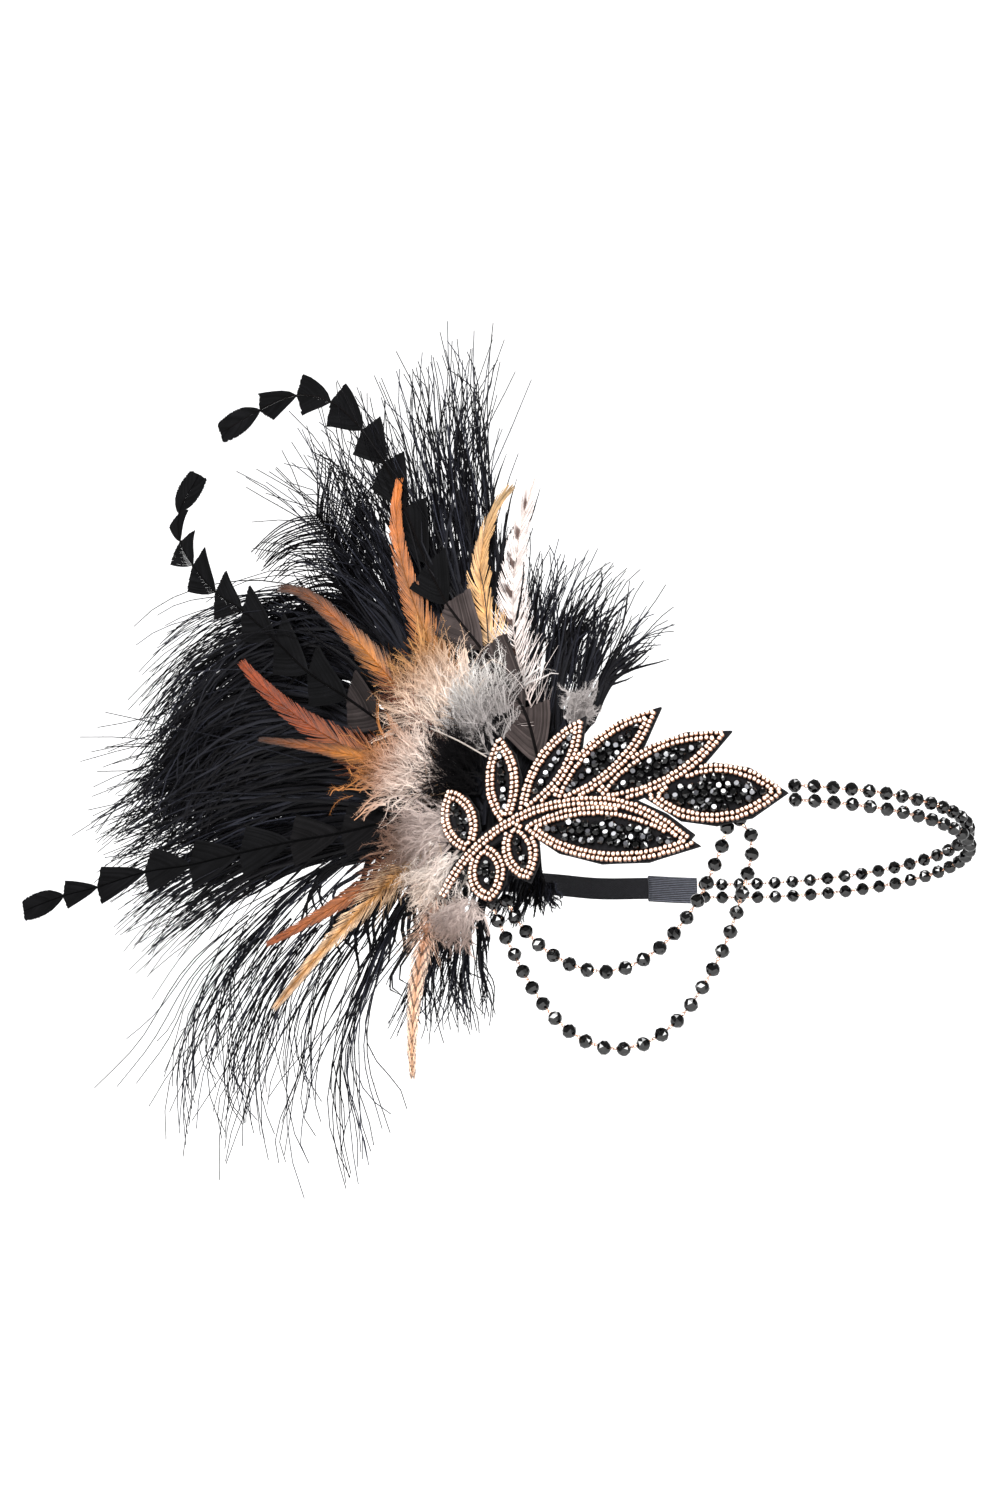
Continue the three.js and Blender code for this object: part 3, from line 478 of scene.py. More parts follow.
def pale_backdrop():
    """Pale matt paint that also shines by itself higher up, as a wall lit from below does."""
    material = new_material("pale_floor", (0.9, 0.9, 0.9, 1), 0.9, scale=2, amount=0.01)
    tree = material.node_tree
    place, parts, height = (tree.nodes.new(kind) for kind in ("ShaderNodeTexCoord", "ShaderNodeSeparateXYZ",
                                                              "ShaderNodeMapRange"))
    height.inputs["From Min"].default_value = FLOOR_LEVEL + 0.05
    height.inputs["From Max"].default_value = FLOOR_LEVEL + 0.45
    height.inputs["To Max"].default_value = 0.8
    shader = tree.nodes["Principled BSDF"]
    shader.inputs["Emission Color"].default_value = (1, 1, 1, 1)
    tree.links.new(place.outputs["Object"], parts.inputs["Vector"])
    tree.links.new(parts.outputs["Z"], height.inputs["Value"])
    tree.links.new(height.outputs["Result"], shader.inputs["Emission Strength"])
    return material


add_sweep(pale_backdrop())

# %% [markdown]
# The felt and the patch keep their solids, since their shape is right. Felt is matted wool: no weave, a soft
# bloom at its edges, which the sheen gives, and a fine grain.

# %% Felt
felt = new_material("black_felt", rgb(24, 23, 25), 0.95, scale=900, amount=0.5, bump=0.6, Sheen_Weight=0.04,
                    Sheen_Roughness=0.5, Specular_IOR_Level=0.15)
for node in ("leaf_backing", "feather_patch"):
    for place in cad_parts[node].material_slots:
        place.material = felt
    print(node, "slots", len(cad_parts[node].material_slots))

# %% [markdown]
# A bead is a profile turned about its thread. A thousand beads are the same profile turned about a thousand
# threads, so one function takes all centres and directions at once. Seed beads are short glass tubes with
# rounded ends, lined with metal that shines rose gold through the glass. Their light and shade are painted: a
# near white highlight where a bead faces the front, copper round it and dark brown shade towards its ends.

# %% Beads as turned profiles
def turned_beads(centres, axes, ups, profile, sides, stagger=False, **marks):
    """Rings at centre + axis * a, of radius r, for each (a, r) of the profile, from the angle of up.

    Stagger turns every second ring by half a side. The mark facing, read as painted highlight and
    shade, is the cosine of the angle from up, less towards the ends with the square of the place along."""
    axes = unit(axes)
    outs = unit(ups - axes * np.sum(ups * axes, axis=-1, keepdims=True))
    overs = np.cross(axes, outs)
    rings = len(profile)
    angle = 2 * math.pi * (np.arange(sides)[None] + 0.5 * stagger * (np.arange(rings)[:, None] % 2)) / sides
    steps, radii = np.array(profile).T
    points = (centres[:, None, None] + axes[:, None, None] * steps[:, None, None]
              + outs[:, None, None] * (radii[:, None] * np.cos(angle))[..., None]
              + overs[:, None, None] * (radii[:, None] * np.sin(angle))[..., None])
    index = np.arange(points.size // 3).reshape(len(centres), rings, sides)
    here, there = index[:, :-1], index[:, 1:]
    spread = {name: np.broadcast_to(np.asarray(value)[:, None, None], index.shape) for name, value in marks.items()}
    spread["facing"] = np.broadcast_to(np.cos(angle) * (1 - 0.75 * (steps / steps.max()) ** 2)[:, None], index.shape)
    nexts, over = np.roll(here, -1, axis=2), np.roll(there, -1, axis=2)
    fans = np.stack([np.broadcast_to(index[..., :1], index[..., 2:].shape), index[..., 1:-1], index[..., 2:]], -1)
    caps = np.concatenate([fans[:, 0, :, ::-1].reshape(-1, 3), fans[:, -1].reshape(-1, 3)])
    if not stagger:
        return shape(points, np.stack([here, nexts, over, there], -1), caps, **spread)
    odd = (np.arange(rings - 1) % 2)[None, :, None, None]
    one = np.where(odd, np.stack([here, over, there], -1), np.stack([here, nexts, there], -1))
    two = np.where(odd, np.stack([here, nexts, over], -1), np.stack([nexts, over, there], -1))
    return shape(points, (), np.concatenate([one.reshape(-1, 3), two.reshape(-1, 3), caps]), **spread)


LEAFLETS = [  # foot x, foot z, point x, point z, half width, as shares of the leaf's length
    (-0.396, -0.086, -0.467, 0.101, 0.050), (-0.283, -0.030, -0.303, 0.228, 0.047),
    (-0.235, -0.010, -0.050, 0.240, 0.050), (-0.140, 0.002, 0.160, 0.244, 0.057),
    (-0.020, 0.000, 0.345, 0.166, 0.058), (0.140, -0.004, 0.488, -0.006, 0.079),
    (-0.220, -0.048, 0.252, -0.146, 0.072), (-0.264, -0.030, -0.212, -0.194, 0.047),
    (-0.356, -0.080, -0.330, -0.238, 0.053)]
STEM = np.array([(-0.487, -0.205), (-0.432, -0.130), (-0.349, -0.063), (-0.259, -0.022), (-0.173, -0.001),
                 (-0.089, 0.004), (-0.007, -0.001), (0.083, -0.025), (0.170, -0.075), (0.240, -0.136)])
SEED_DIAMETER = 2.1
SEED_LENGTH = 1.62
SEED_PITCH = 1.86
ROWS = (-0.1, -2.25)
BORDER_WIDTH = 4.2
SEED_PROFILE = [(-0.5 * SEED_LENGTH, 0.5 * SEED_DIAMETER / 2), (-0.3 * SEED_LENGTH, SEED_DIAMETER / 2),
                (0.3 * SEED_LENGTH, SEED_DIAMETER / 2), (0.5 * SEED_LENGTH, 0.5 * SEED_DIAMETER / 2)]
STEM_ROW = 1.05
SEED_ROOM = 1.7
SEED_STRAY, SEED_TURN, SEED_RISE = 0.1, 10, 0.08
THREAD_GAP = 0.05


def running_length(line):
    """Length run up to each point of a polyline: the running sum of its steps."""
    return np.concatenate([[0], np.cumsum(np.linalg.norm(np.diff(line, axis=0), axis=1))])


def on_line(line, at, step):
    """Points at the given running lengths, and the directions there, from a step behind to a step ahead."""
    reach = running_length(line)
    spots, ahead, behind = (np.stack([np.interp(at + shift, reach, line[:, k]) for k in range(line.shape[1])], axis=-1)
                            for shift in (0, step, -step))
    return spots, unit(ahead - behind)


def resample(line, pitch):
    """Points at an even pitch along a polyline, by its running length, with the direction at each."""
    reach = running_length(line)[-1]
    count = max(int(round(reach / pitch)), 1)
    return on_line(line, (np.arange(count) + 0.5) * reach / count, 0.3)


def lens_arcs(leaflet, grow):
    """Middle, directions along and across, half length, rise and radius of a lens set out by grow.

    The radius is (half^2 + rise^2) / (2 rise)."""
    foot, point = np.array(leaflet[:2]) * LEAF_LENGTH, np.array(leaflet[2:4]) * LEAF_LENGTH
    along, half, rise = unit(point - foot), np.linalg.norm(point - foot) / 2, leaflet[4] * LEAF_LENGTH
    half, rise = half + grow / math.sin(2 * math.atan(rise / half)), rise + grow
    across = np.array([-along[1], along[0]])
    return (foot + point) / 2, along, across, half, rise, (half**2 + rise**2) / (2 * rise)


def lens_edge(leaflet, grow):
    """Outline of the lens: middle + s * along +/- (sqrt(radius^2 - s^2) - radius + rise) * across."""
    middle, along, across, half, rise, radius = lens_arcs(leaflet, grow)
    s = np.linspace(-half, half, 60)
    lift = np.sqrt(radius**2 - s**2) - radius + rise
    one = middle + s[:, None] * along + lift[:, None] * across
    two = middle + s[::-1, None] * along - lift[::-1, None] * across
    return np.concatenate([one, two[1:]])


def nearest(spots, others):
    """Distance from each spot to the nearest of the others."""
    return np.linalg.norm(spots[:, None] - others[None], axis=-1).min(axis=1)


def smooth_line(points, steps=16):
    """Catmull-Rom curve with centripetal knots through the points, steps to a stretch."""
    ends = [2 * points[0] - points[1]], [2 * points[-1] - points[-2]]
    p = np.concatenate([ends[0], points, ends[1]])
    knots = np.sqrt(np.linalg.norm(np.diff(p, axis=0), axis=1))[:, None]
    before, own, after = knots[:-2], knots[1:-1], knots[2:]
    p0, p1, p2, p3 = p[:-3], p[1:-2], p[2:-1], p[3:]
    t1 = ((p1 - p0) / before - (p2 - p0) / (before + own) + (p2 - p1) / own) * own
    t2 = ((p2 - p1) / own - (p3 - p1) / (own + after) + (p3 - p2) / after) * own
    t = (np.arange(steps) / steps)[None, :, None]
    a, b = 2 * p1 - 2 * p2 + t1 + t2, -3 * p1 + 3 * p2 - 2 * t1 - t2
    curve = ((a[:, None] * t + b[:, None]) * t + t1[:, None]) * t + p1[:, None]
    return np.concatenate([curve.reshape(-1, p.shape[1]), points[-1:]])


def seed_rows():
    """Spots and directions of all seed beads: the stem's two rows, then each leaflet's, where there is room."""
    stem = smooth_line(STEM * LEAF_LENGTH)
    across = unit(np.gradient(stem, axis=0)) @ np.array([[0, 1], [-1, 0]])
    rows = [stem + across * side * STEM_ROW for side in (1, -1)]
    rows += [lens_edge(leaflet, row) for row in ROWS for leaflet in LEAFLETS]
    kept = []
    for line in rows:
        spots, ways = resample(line, SEED_PITCH)
        if kept:
            free = nearest(spots, np.concatenate(kept)[:, :2]) > SEED_ROOM
            spots, ways = spots[free], ways[free]
        kept.append(np.concatenate([spots, ways], axis=1))
    return np.concatenate(kept)


dice = np.random.default_rng(7)
seeds = seed_rows()
seeds[:, :2] += dice.normal(0, SEED_STRAY, (len(seeds), 2))
turned = np.radians(dice.normal(0, SEED_TURN, len(seeds)))
way = np.stack([seeds[:, 2] * np.cos(turned) - seeds[:, 3] * np.sin(turned),
                seeds[:, 2] * np.sin(turned) + seeds[:, 3] * np.cos(turned)], axis=-1)
seed_depth = -FELT - SEED_DIAMETER / 2 - THREAD_GAP + dice.normal(0, SEED_RISE, len(seeds))
seed_centre = leaf_place(seeds[:, :2], seed_depth)
seed_ahead = leaf_place(seeds[:, :2] + way * 0.2, seed_depth)
border = turned_beads(seed_centre, seed_ahead - seed_centre, np.broadcast_to(FRONT, seed_centre.shape),
                      SEED_PROFILE, 10, tone=dice.uniform(0, 1, len(seeds)))
print("seed beads", len(seeds))

# %% Rose gold lined glass, with painted highlight and shade
rose_gold = new_material("rose_gold_glass", rgb(206, 150, 122), 0.3, scale=900, amount=0.3, streak=0.22,
                         Metallic=0.3, Coat_Weight=0.6, Coat_Roughness=0.05)
# The ramp paints light and shade on each bead: a near white highlight where it faces the front, copper round it and
# dark brown shade at its ends.
bead_light_and_shade = ramp(rose_gold.node_tree, mark_of(rose_gold.node_tree, "facing"),
              [(0.05, rgb(50, 28, 18)), (0.36, rgb(132, 84, 60)), (0.58, rgb(206, 164, 138)),
               (0.72, rgb(255, 246, 236))])
coloured(rose_gold, bead_light_and_shade)
add_piece("seed_bead_border", moved(border, on_head), rose_gold, ["bead_border"], smooth=True)

# %% [markdown]
# Inside each leaflet the felt is covered with black cut stones, a few millimetres wide. Each stands at its own
# angle, so that at any time some facet catches the light. They are the same turned profile with few sides,
# flat facets and a table, on a grid of close-packed spots that lie inside the leaflet's two arcs. About half of
# the tables catch the bright room, and that reflection is painted: the mark glint holds on each table how pale
# that stone's painted glint is.

# %% Cut stones in the leaflets
STONE_PITCH = 3.6
STONE_ROWS, STONE_COLUMNS = 6, 14
STONE_SIDES = 7
STONE_ROOM = 1.75
STONE_SEAT = 1.0
STONE_STRAY, STONE_TILT = 0.22, 0.4


def inside_lens(spots, leaflet, grow):
    """True where a spot lies within both arcs of the lens, set out by grow."""
    middle, along, across, _, rise, radius = lens_arcs(leaflet, grow)
    local = np.stack([(spots - middle) @ along, (spots - middle) @ across], axis=-1)
    low, high = local + [0, radius - rise], local - [0, radius - rise]
    return (np.linalg.norm(low, axis=1) < radius) & (np.linalg.norm(high, axis=1) < radius)


def stone_spots(leaflet, dice):
    """Close-packed spots along the leaflet's own direction, jittered, kept inside its border."""
    middle, along, across = lens_arcs(leaflet, 0.0)[:3]
    rows = np.arange(-STONE_ROWS, STONE_ROWS + 1)
    columns = np.arange(-STONE_COLUMNS, STONE_COLUMNS + 1)
    u, v = np.meshgrid(columns * STONE_PITCH, rows * STONE_PITCH * 0.87)
    u = u + (rows % 2)[:, None] * STONE_PITCH / 2
    grid = middle + u.reshape(-1, 1) * along + v.reshape(-1, 1) * across
    grid = grid + dice.normal(0, STONE_STRAY, (u.size, 2))
    return grid[inside_lens(grid, leaflet, -BORDER_WIDTH)]


black_crystal = new_material("black_crystal", (0.002, 0.002, 0.003, 1), 0.03, scale=60, amount=0.4,
                             Specular_IOR_Level=0.65)
# The glint ramp paints the room's reflection into the tables' colour: black up to 0.5, then grey to near white.
coloured(black_crystal, ramp(black_crystal.node_tree, mark_of(black_crystal.node_tree, "glint"),
                             [(0.5, rgb(4, 4, 5)), (0.62, rgb(70, 70, 74)), (0.85, rgb(150, 150, 154)),
                              (1.0, rgb(236, 236, 238))]))
CUT_PROFILE = [(-0.8, 0.8), (-0.3, 1.8), (0.3, 1.85), (1.0, 1.35), (1.35, 0.95)]
for number, leaflet in enumerate(LEAFLETS, 1):
    spots = stone_spots(leaflet, dice)
    spots = spots[nearest(spots, seeds[:, :2]) > STONE_ROOM]
    centres = leaf_place(spots, -FELT - STONE_SEAT)
    tilt = unit(FRONT + dice.normal(0, STONE_TILT, (len(spots), 3)))
    stones = turned_beads(centres, tilt, dice.normal(0, 1, (len(spots), 3)), CUT_PROFILE, STONE_SIDES, stagger=True)
    # Painted glint: each stone's table gets a random paleness of painted reflection, all other rings none.
    painted_glint = np.zeros((len(spots), len(CUT_PROFILE), STONE_SIDES))
    painted_glint[:, -1] = dice.uniform(0, 1, len(spots))[:, None]
    stones["marks"]["glint"] = painted_glint.reshape(-1)
    add_piece(f"crystal_field_{number}", moved(stones, on_head), black_crystal,
              [f"crystal_bed_{number}"])

# %% [markdown]
# The strands and swags are chains: each faceted bead sits on a short pin whose two ends are bent to eyes, and
# the eyes of neighbours hook into each other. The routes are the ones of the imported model, and the beads stand
# on them at the same pitch, by running length.

# %% Bead chains
BEAD_DIAMETER = 5.2
BEAD_PITCH = 7.75
BEAD_LEAD = BEAD_DIAMETER / 2
STRAND_SPREAD = (5.7, 7.4)
RIBBON_RIGHT = 96.5
EYE_GAP = 0.4
SWAG_DEPTH, SWAG_END_DEPTH = 3.3, 0.75
PIN_REACH = 2.75
SWAG_ROUTES = {
    "swag_outer": [(52.4, -4.2), (52.2, -7.4), (52.4, -10.8), (55.4, -14.2), (56.8, -20), (55.6, -27), (52, -40),
                   (46, -56.5), (38.4, -70.3), (28.4, -83.8), (16.5, -92.9), (2, -95.8), (-12, -91), (-23.4, -81.2),
                   (-32.6, -68.1), (-39.8, -54), (-46, -41), (-48.6, -32), (-49, -27.5)],
    "swag_inner": [(46.6, -7.6), (47.2, -10.4), (47.5, -14.2), (44.6, -21.8), (37.5, -37), (28, -50.3),
                   (15.9, -60.7), (1.4, -65.6), (-12.1, -63.3), (-25.9, -55), (-36.4, -43.6), (-41.8, -34),
                   (-42.8, -27.5)]}
FACET_PROFILE = [(-2.6, 0.8), (-2.05, 1.75), (-0.8, 2.75), (0.8, 2.75), (2.05, 1.75), (2.6, 0.8)]


def strand_route(side):
    """Half of the head loop's ellipse at a height that swells in the middle by a sine."""
    t = np.linspace(0, 1, 241)
    height = side * (STRAND_SPREAD[0] + (STRAND_SPREAD[1] - STRAND_SPREAD[0]) * np.sin(math.pi * t)) / 2
    return loop_point(STRAND_START + (RIBBON_RIGHT - EYE_GAP / 2 - STRAND_START) * t, height)


def swag_route(spots):
    """Curve through the chosen points, hung on the chord between its ends and never in front of the felt."""
    spots = np.array(spots, float)
    ends = spots[[0, -1], 0]
    chord = np.interp(spots[:, 0], np.sort(ends), felt_back(np.sort(ends)))
    depth = np.full(len(spots), SWAG_DEPTH)
    depth[[0, -1]] = SWAG_END_DEPTH
    local = np.stack([spots[:, 0], np.maximum(chord, felt_back(spots[:, 0])) + depth, spots[:, 1]], axis=-1)
    return on_head(smooth_line(local))


def bead_places(route, lead_in, lead_out):
    """Centres and directions of the beads, evenly spaced by running length between the leads."""
    reach = running_length(route)[-1]
    count = int(round((reach - lead_in - lead_out) / BEAD_PITCH)) + 1
    return on_line(route, np.linspace(lead_in, reach - lead_out, count), 1)


def eyes(centres, along, across, radius=0.62, wire=0.19, around=10, sides=5):
    """Rings of wire: centre + (radius + wire cos p)(along cos t + across sin t) + wire sin p * normal."""
    t = 2 * math.pi * np.arange(around) / around
    p = 2 * math.pi * np.arange(sides) / sides
    out = along[:, None] * np.cos(t)[None, :, None] + across[:, None] * np.sin(t)[None, :, None]
    normal = np.cross(along, across)[:, None, None]
    points = (centres[:, None, None] + out[:, :, None] * (radius + wire * np.cos(p))[None, None, :, None]
              + normal * (wire * np.sin(p))[None, None, :, None])
    index = np.arange(points.size // 3).reshape(len(centres), around, sides)
    far, up = np.roll(index, -1, axis=1), np.roll(index, -1, axis=2)
    return shape(points, np.stack([index, far, np.roll(far, -1, axis=2), up], -1))


def pins(spots, ways, half, width=0.42):
    """Short straight wires from each bead's middle to a little outside both its ends."""
    paths = np.stack([spots - ways * half, spots + ways * half], axis=1)
    up = unit(np.cross(ways, [0.3, 0.4, 0.87]))[:, None]
    return strands(paths, np.full(paths.shape[:2], width), front=up)


def chain(route, lead_in, lead_out, dice):
    """Beads, and wires with two hooked eyes in each space between beads."""
    spots, ways = bead_places(route, lead_in, lead_out)
    ups = unit(np.cross(ways, dice.normal(0, 1, (len(spots), 3))))
    tilted = unit(ways + dice.normal(0, 0.07, ways.shape))
    size = dice.normal(1, 0.02)
    beads = turned_beads(spots, tilted, ups, np.array(FACET_PROFILE) * size, 9, stagger=True)
    middles, along = (spots[1:] + spots[:-1]) / 2, unit(spots[1:] - spots[:-1])
    across = unit(np.cross(along, dice.normal(0, 1, along.shape)))
    over = np.cross(along, across)
    wires = join(eyes(middles - along * 0.5, along, across), eyes(middles + along * 0.5, along, over),
                 pins(spots, ways, PIN_REACH))
    return beads, wires


wire_gold = new_material("rose_gold_wire", rgb(222, 176, 150), 0.22, scale=300, amount=0.2, Metallic=1.0)


def add_chain(name, route, lead_in, lead_out):
    """Chain piece with two materials: its faces stand as the wires' quads, the beads' triangles, then the rest."""
    beads, wires = chain(route, lead_in, lead_out, dice)
    piece = add_piece(f"beads_of_{name}", join(beads, wires), black_crystal, [name])
    piece.data.materials.append(wire_gold)
    faces = piece.data.polygons
    is_wire = np.ones(len(faces), int)
    is_wire[len(wires["quads"]):len(wires["quads"]) + len(beads["tris"])] = 0
    faces.foreach_set("material_index", is_wire)


for name, side in (("strand_upper", 1), ("strand_lower", -1)):
    add_chain(name, strand_route(side), CHAIN_HOLD + EYE_GAP + BEAD_LEAD, EYE_GAP + BEAD_LEAD)
for name, spots in SWAG_ROUTES.items():
    add_chain(name, swag_route(spots), CHAIN_HOLD + BEAD_LEAD, CHAIN_HOLD + BEAD_LEAD)

# %% [markdown]
# Elastic and ribbon are bands: a flat section with rounded edges, carried along a route with its width upright.
# The ribbon has fine ribs along it, which are real ridges of the section, since they show at its ends.

# %% Elastic and ribbon
ELASTIC_WIDTH, ELASTIC_THICKNESS = 9.6, 1.2
RIBBON_LENGTH, RIBBON_WIDTH, RIBBON_THICKNESS = 22.0, 11.5, 2.6
RIB_COUNT, RIB_HEIGHT = 14, 0.2
ELASTIC_DEPTH = 21.7
SEWN_HEIGHT, BENT_HEIGHT = 2.6, -1.9
ELASTIC_TUCK = 0.18
SEWN_STRETCH = np.array([-0.24, -0.32, -0.38, -0.43]) * LEAF_LENGTH
ELASTIC_TURN = [(-1.205, 0.045), (-1.242, 0.26), (-1.2, 0.48), (-1.085, 0.62), (-0.93, 0.7), (-0.76, 0.765),
                (-0.57, 0.85)]
ribbon_left = RIBBON_RIGHT + math.degrees(RIBBON_LENGTH / LOOP_HALF_LENGTH)


def band(route, width, thickness, ribs, rib_height):
    """Section: front and back runs with ribs as a cosine of the height, carried with width upright and marks."""
    v = np.linspace(-1, 1, 6 * ribs + 1 if ribs else 15)
    plump = thickness / 2 * (1 - np.abs(v) ** 8 * 0.75) + rib_height * np.cos(ribs * math.pi * v)
    heights = np.concatenate([v, v[::-1]]) * width / 2
    depths = np.concatenate([plump, -plump[::-1]])
    ahead = unit(np.gradient(route, axis=0) * [1, 1, 0])
    out = np.stack([ahead[:, 1], -ahead[:, 0], np.zeros(len(route))], axis=-1)
    points = (route[:, None] + out[:, None] * depths[None, :, None]
              + np.array([0, 0, 1.0]) * heights[None, :, None])
    stations, corners = points.shape[:2]
    index = np.arange(stations * corners).reshape(stations, corners)
    here, there = index[:-1], index[1:]
    quads = np.stack([here, np.roll(here, -1, axis=1), np.roll(there, -1, axis=1), there], -1)
    half = corners // 2
    low, high = np.arange(half - 1), corners - 1 - np.arange(half - 1)
    ends = np.stack([low, low + 1, high - 1, high], -1)
    along = np.broadcast_to(running_length(route)[:, None], index.shape)
    across = np.broadcast_to(heights[None], index.shape)
    caps = np.concatenate([index[0][ends][:, ::-1], index[-1][ends]])
    return shape(points, np.concatenate([quads.reshape(-1, 4), caps]), along=along, across=across)


def add_weave(material, along_scale, across_scale, strength):
    """Bump of a weave: sines of the marks along and across, in millimetres, multiplied."""
    tree = material.node_tree
    waves = [math_node(tree, "SINE", math_node(tree, "MULTIPLY", mark_of(tree, mark), scale))
             for mark, scale in (("along", along_scale), ("across", across_scale))]
    bump = tree.nodes.new("ShaderNodeBump")
    bump.inputs["Strength"].default_value = strength
    bump.inputs["Distance"].default_value = 0.0002
    tree.links.new(math_node(tree, "MULTIPLY", *waves), bump.inputs["Height"])
    tree.links.new(bump.outputs["Normal"], tree.nodes["Principled BSDF"].inputs["Normal"])


elastic_cloth = new_material("black_elastic", rgb(30, 30, 33), 0.8, scale=500, amount=0.25,
                             Specular_IOR_Level=0.2)
add_weave(elastic_cloth, 9.0, 7.0, 0.7)
grosgrain = new_material("black_grosgrain", rgb(40, 40, 45), 0.6, scale=700, amount=0.3, Specular_IOR_Level=0.3)
add_weave(grosgrain, 14.0, 1.0, 0.4)
cloth = grosgrain.node_tree
# The wave stripes across the ribbon, near black to grey and spaced by the ribs, are painted shade and light of its
# ribs.
ribs, place = cloth.nodes.new("ShaderNodeTexWave"), cloth.nodes.new("ShaderNodeCombineXYZ")
ribs.inputs["Scale"].default_value = RIB_COUNT / RIBBON_WIDTH * math.pi / 10
cloth.links.new(mark_of(cloth, "across"), place.inputs["X"])
cloth.links.new(place.outputs["Vector"], ribs.inputs["Vector"])
coloured(grosgrain, ramp(cloth, ribs.outputs["Fac"], [(0.15, rgb(12, 12, 14)), (0.85, rgb(100, 102, 112))]))
sewn = on_head(leaf_place(np.stack([SEWN_STRETCH, np.full(4, SEWN_HEIGHT)], axis=-1), ELASTIC_DEPTH))
bent = np.array([(x * LOOP_HALF_LENGTH, y * LOOP_HALF_WIDTH, BENT_HEIGHT) for x, y in ELASTIC_TURN])
elastic_route = smooth_line(np.concatenate([sewn, bent, [loop_point(ribbon_left + ELASTIC_TUCK)]]), 10)
add_piece("elastic_weave", band(elastic_route, ELASTIC_WIDTH, ELASTIC_THICKNESS, 0, 0.0), elastic_cloth,
          ["elastic_band"], smooth=True)
ribbon_route = loop_point(np.linspace(RIBBON_RIGHT, ribbon_left, 16))
ribbon = band(ribbon_route, RIBBON_WIDTH, RIBBON_THICKNESS - 2 * RIB_HEIGHT, RIB_COUNT, RIB_HEIGHT)
add_piece("ribbed_ribbon", ribbon, grosgrain, ["ribbon_end"], smooth=True)

# %% [markdown]
# Ostrich plumes: from a soft shaft grow long barbs, and from each barb hundreds of loose barbules, which is
# why the plume looks fuzzy and moves like hair. Each barb here leaves its plume's guide line somewhere in its
# first half, in small clumps, then bends on as the guide does, and carries hairs on both sides.

# %% Ostrich plumes
PLUMES = [  # root x, root z (shares of the leaf), headings, turns, lengths (shares of the reach), barbs, root spread,
    # reach of the inner and of the outer barbs (shares of the length), wave
    (-0.19, 0.20, (106, 68), (-12, -30), (0.35, 0.22), 230, 18.0, (0.5, 0.85), (0.55, 1.1), 3.6),
    (-0.39, 0.30, (115, 96), (6, -8), (0.60, 0.58), 300, 14.0, (0.3, 0.62), (0.6, 1.08), 5.5),
    (-0.54, 0.364, (128, 104), (20, -6), (0.42, 0.44), 140, 15.0, (0.4, 0.75), (0.55, 0.9), 2.0),
    (-0.62, 0.252, (138, 104), (100, 150), (0.50, 0.70), 440, 15.0, (0.7, 0.98), (0.8, 1.03), 2.6),
    (-0.51, 0.084, (174, 146), (34, 62), (0.53, 0.68), 400, 12.0, (0.55, 0.9), (0.7, 1.08), 3.0),
    (-0.58, 0.018, (186, 232), (92, 40), (0.62, 0.47), 140, 12.0, (0.15, 0.4), (0.66, 1.1), 7.0),
    (-0.45, -0.08, (232, 268), (26, 6), (0.27, 0.22), 110, 7.0, (0.3, 0.6), (0.6, 1.05), 3.4),
    (-0.26, -0.10, (236, 296), (10, -4), (0.10, 0.075), 80, 6.0, (0.4, 0.8), (0.6, 1.0), 1.8)]
PLUME_DEPTH = 6.8
PLUME_STEP = 1.5
BARB_STATIONS = 11
CLUMP = 5
LOOSE_HAIRS = {5: 12, 3: 28, 4: 28}
HAIRS = 34
INNER_PART = {2: 2, 3: 2, 4: 2}
BROAD_WIDTH = 2.3
FINE_WIDTHS = (0.68, 0.38)
COMB_LAYER = 2
COMB_BARBS = 76
COMB_WIDTHS = (0.85, 0.45)
LIFT = 0.4
COMB_SHAFT = [(-109.6, 89.9), (-113.1, 95.2), (-118.2, 110.0), (-123.2, 124.0), (-128.8, 143.4), (-139.5, 160.8)]


def between(pair, t):
    """Value at share t between two ends."""
    return pair[0] + (pair[1] - pair[0]) * t


def by_clump(values, count):
    """One value for each clump, given to all its barbs."""
    return np.repeat(values, CLUMP)[:count]


def waved(flat, share, amount, dice):
    """Lines moved sideways by amount * share * sin(a share + b), with one a and b to a clump."""
    count = len(flat)
    groups = -(-count // CLUMP)
    speed, phase = (by_clump(dice.uniform(low, high, groups), count)[:, None] for low, high in ((4, 11), (0, 6.3)))
    wave = np.sin(share * speed + phase + dice.normal(0, 0.3, (count, 1))) * share
    ahead = unit(np.gradient(flat, axis=1))
    return flat + np.stack([-ahead[..., 1], ahead[..., 0]], -1) * (wave * amount)[..., None]


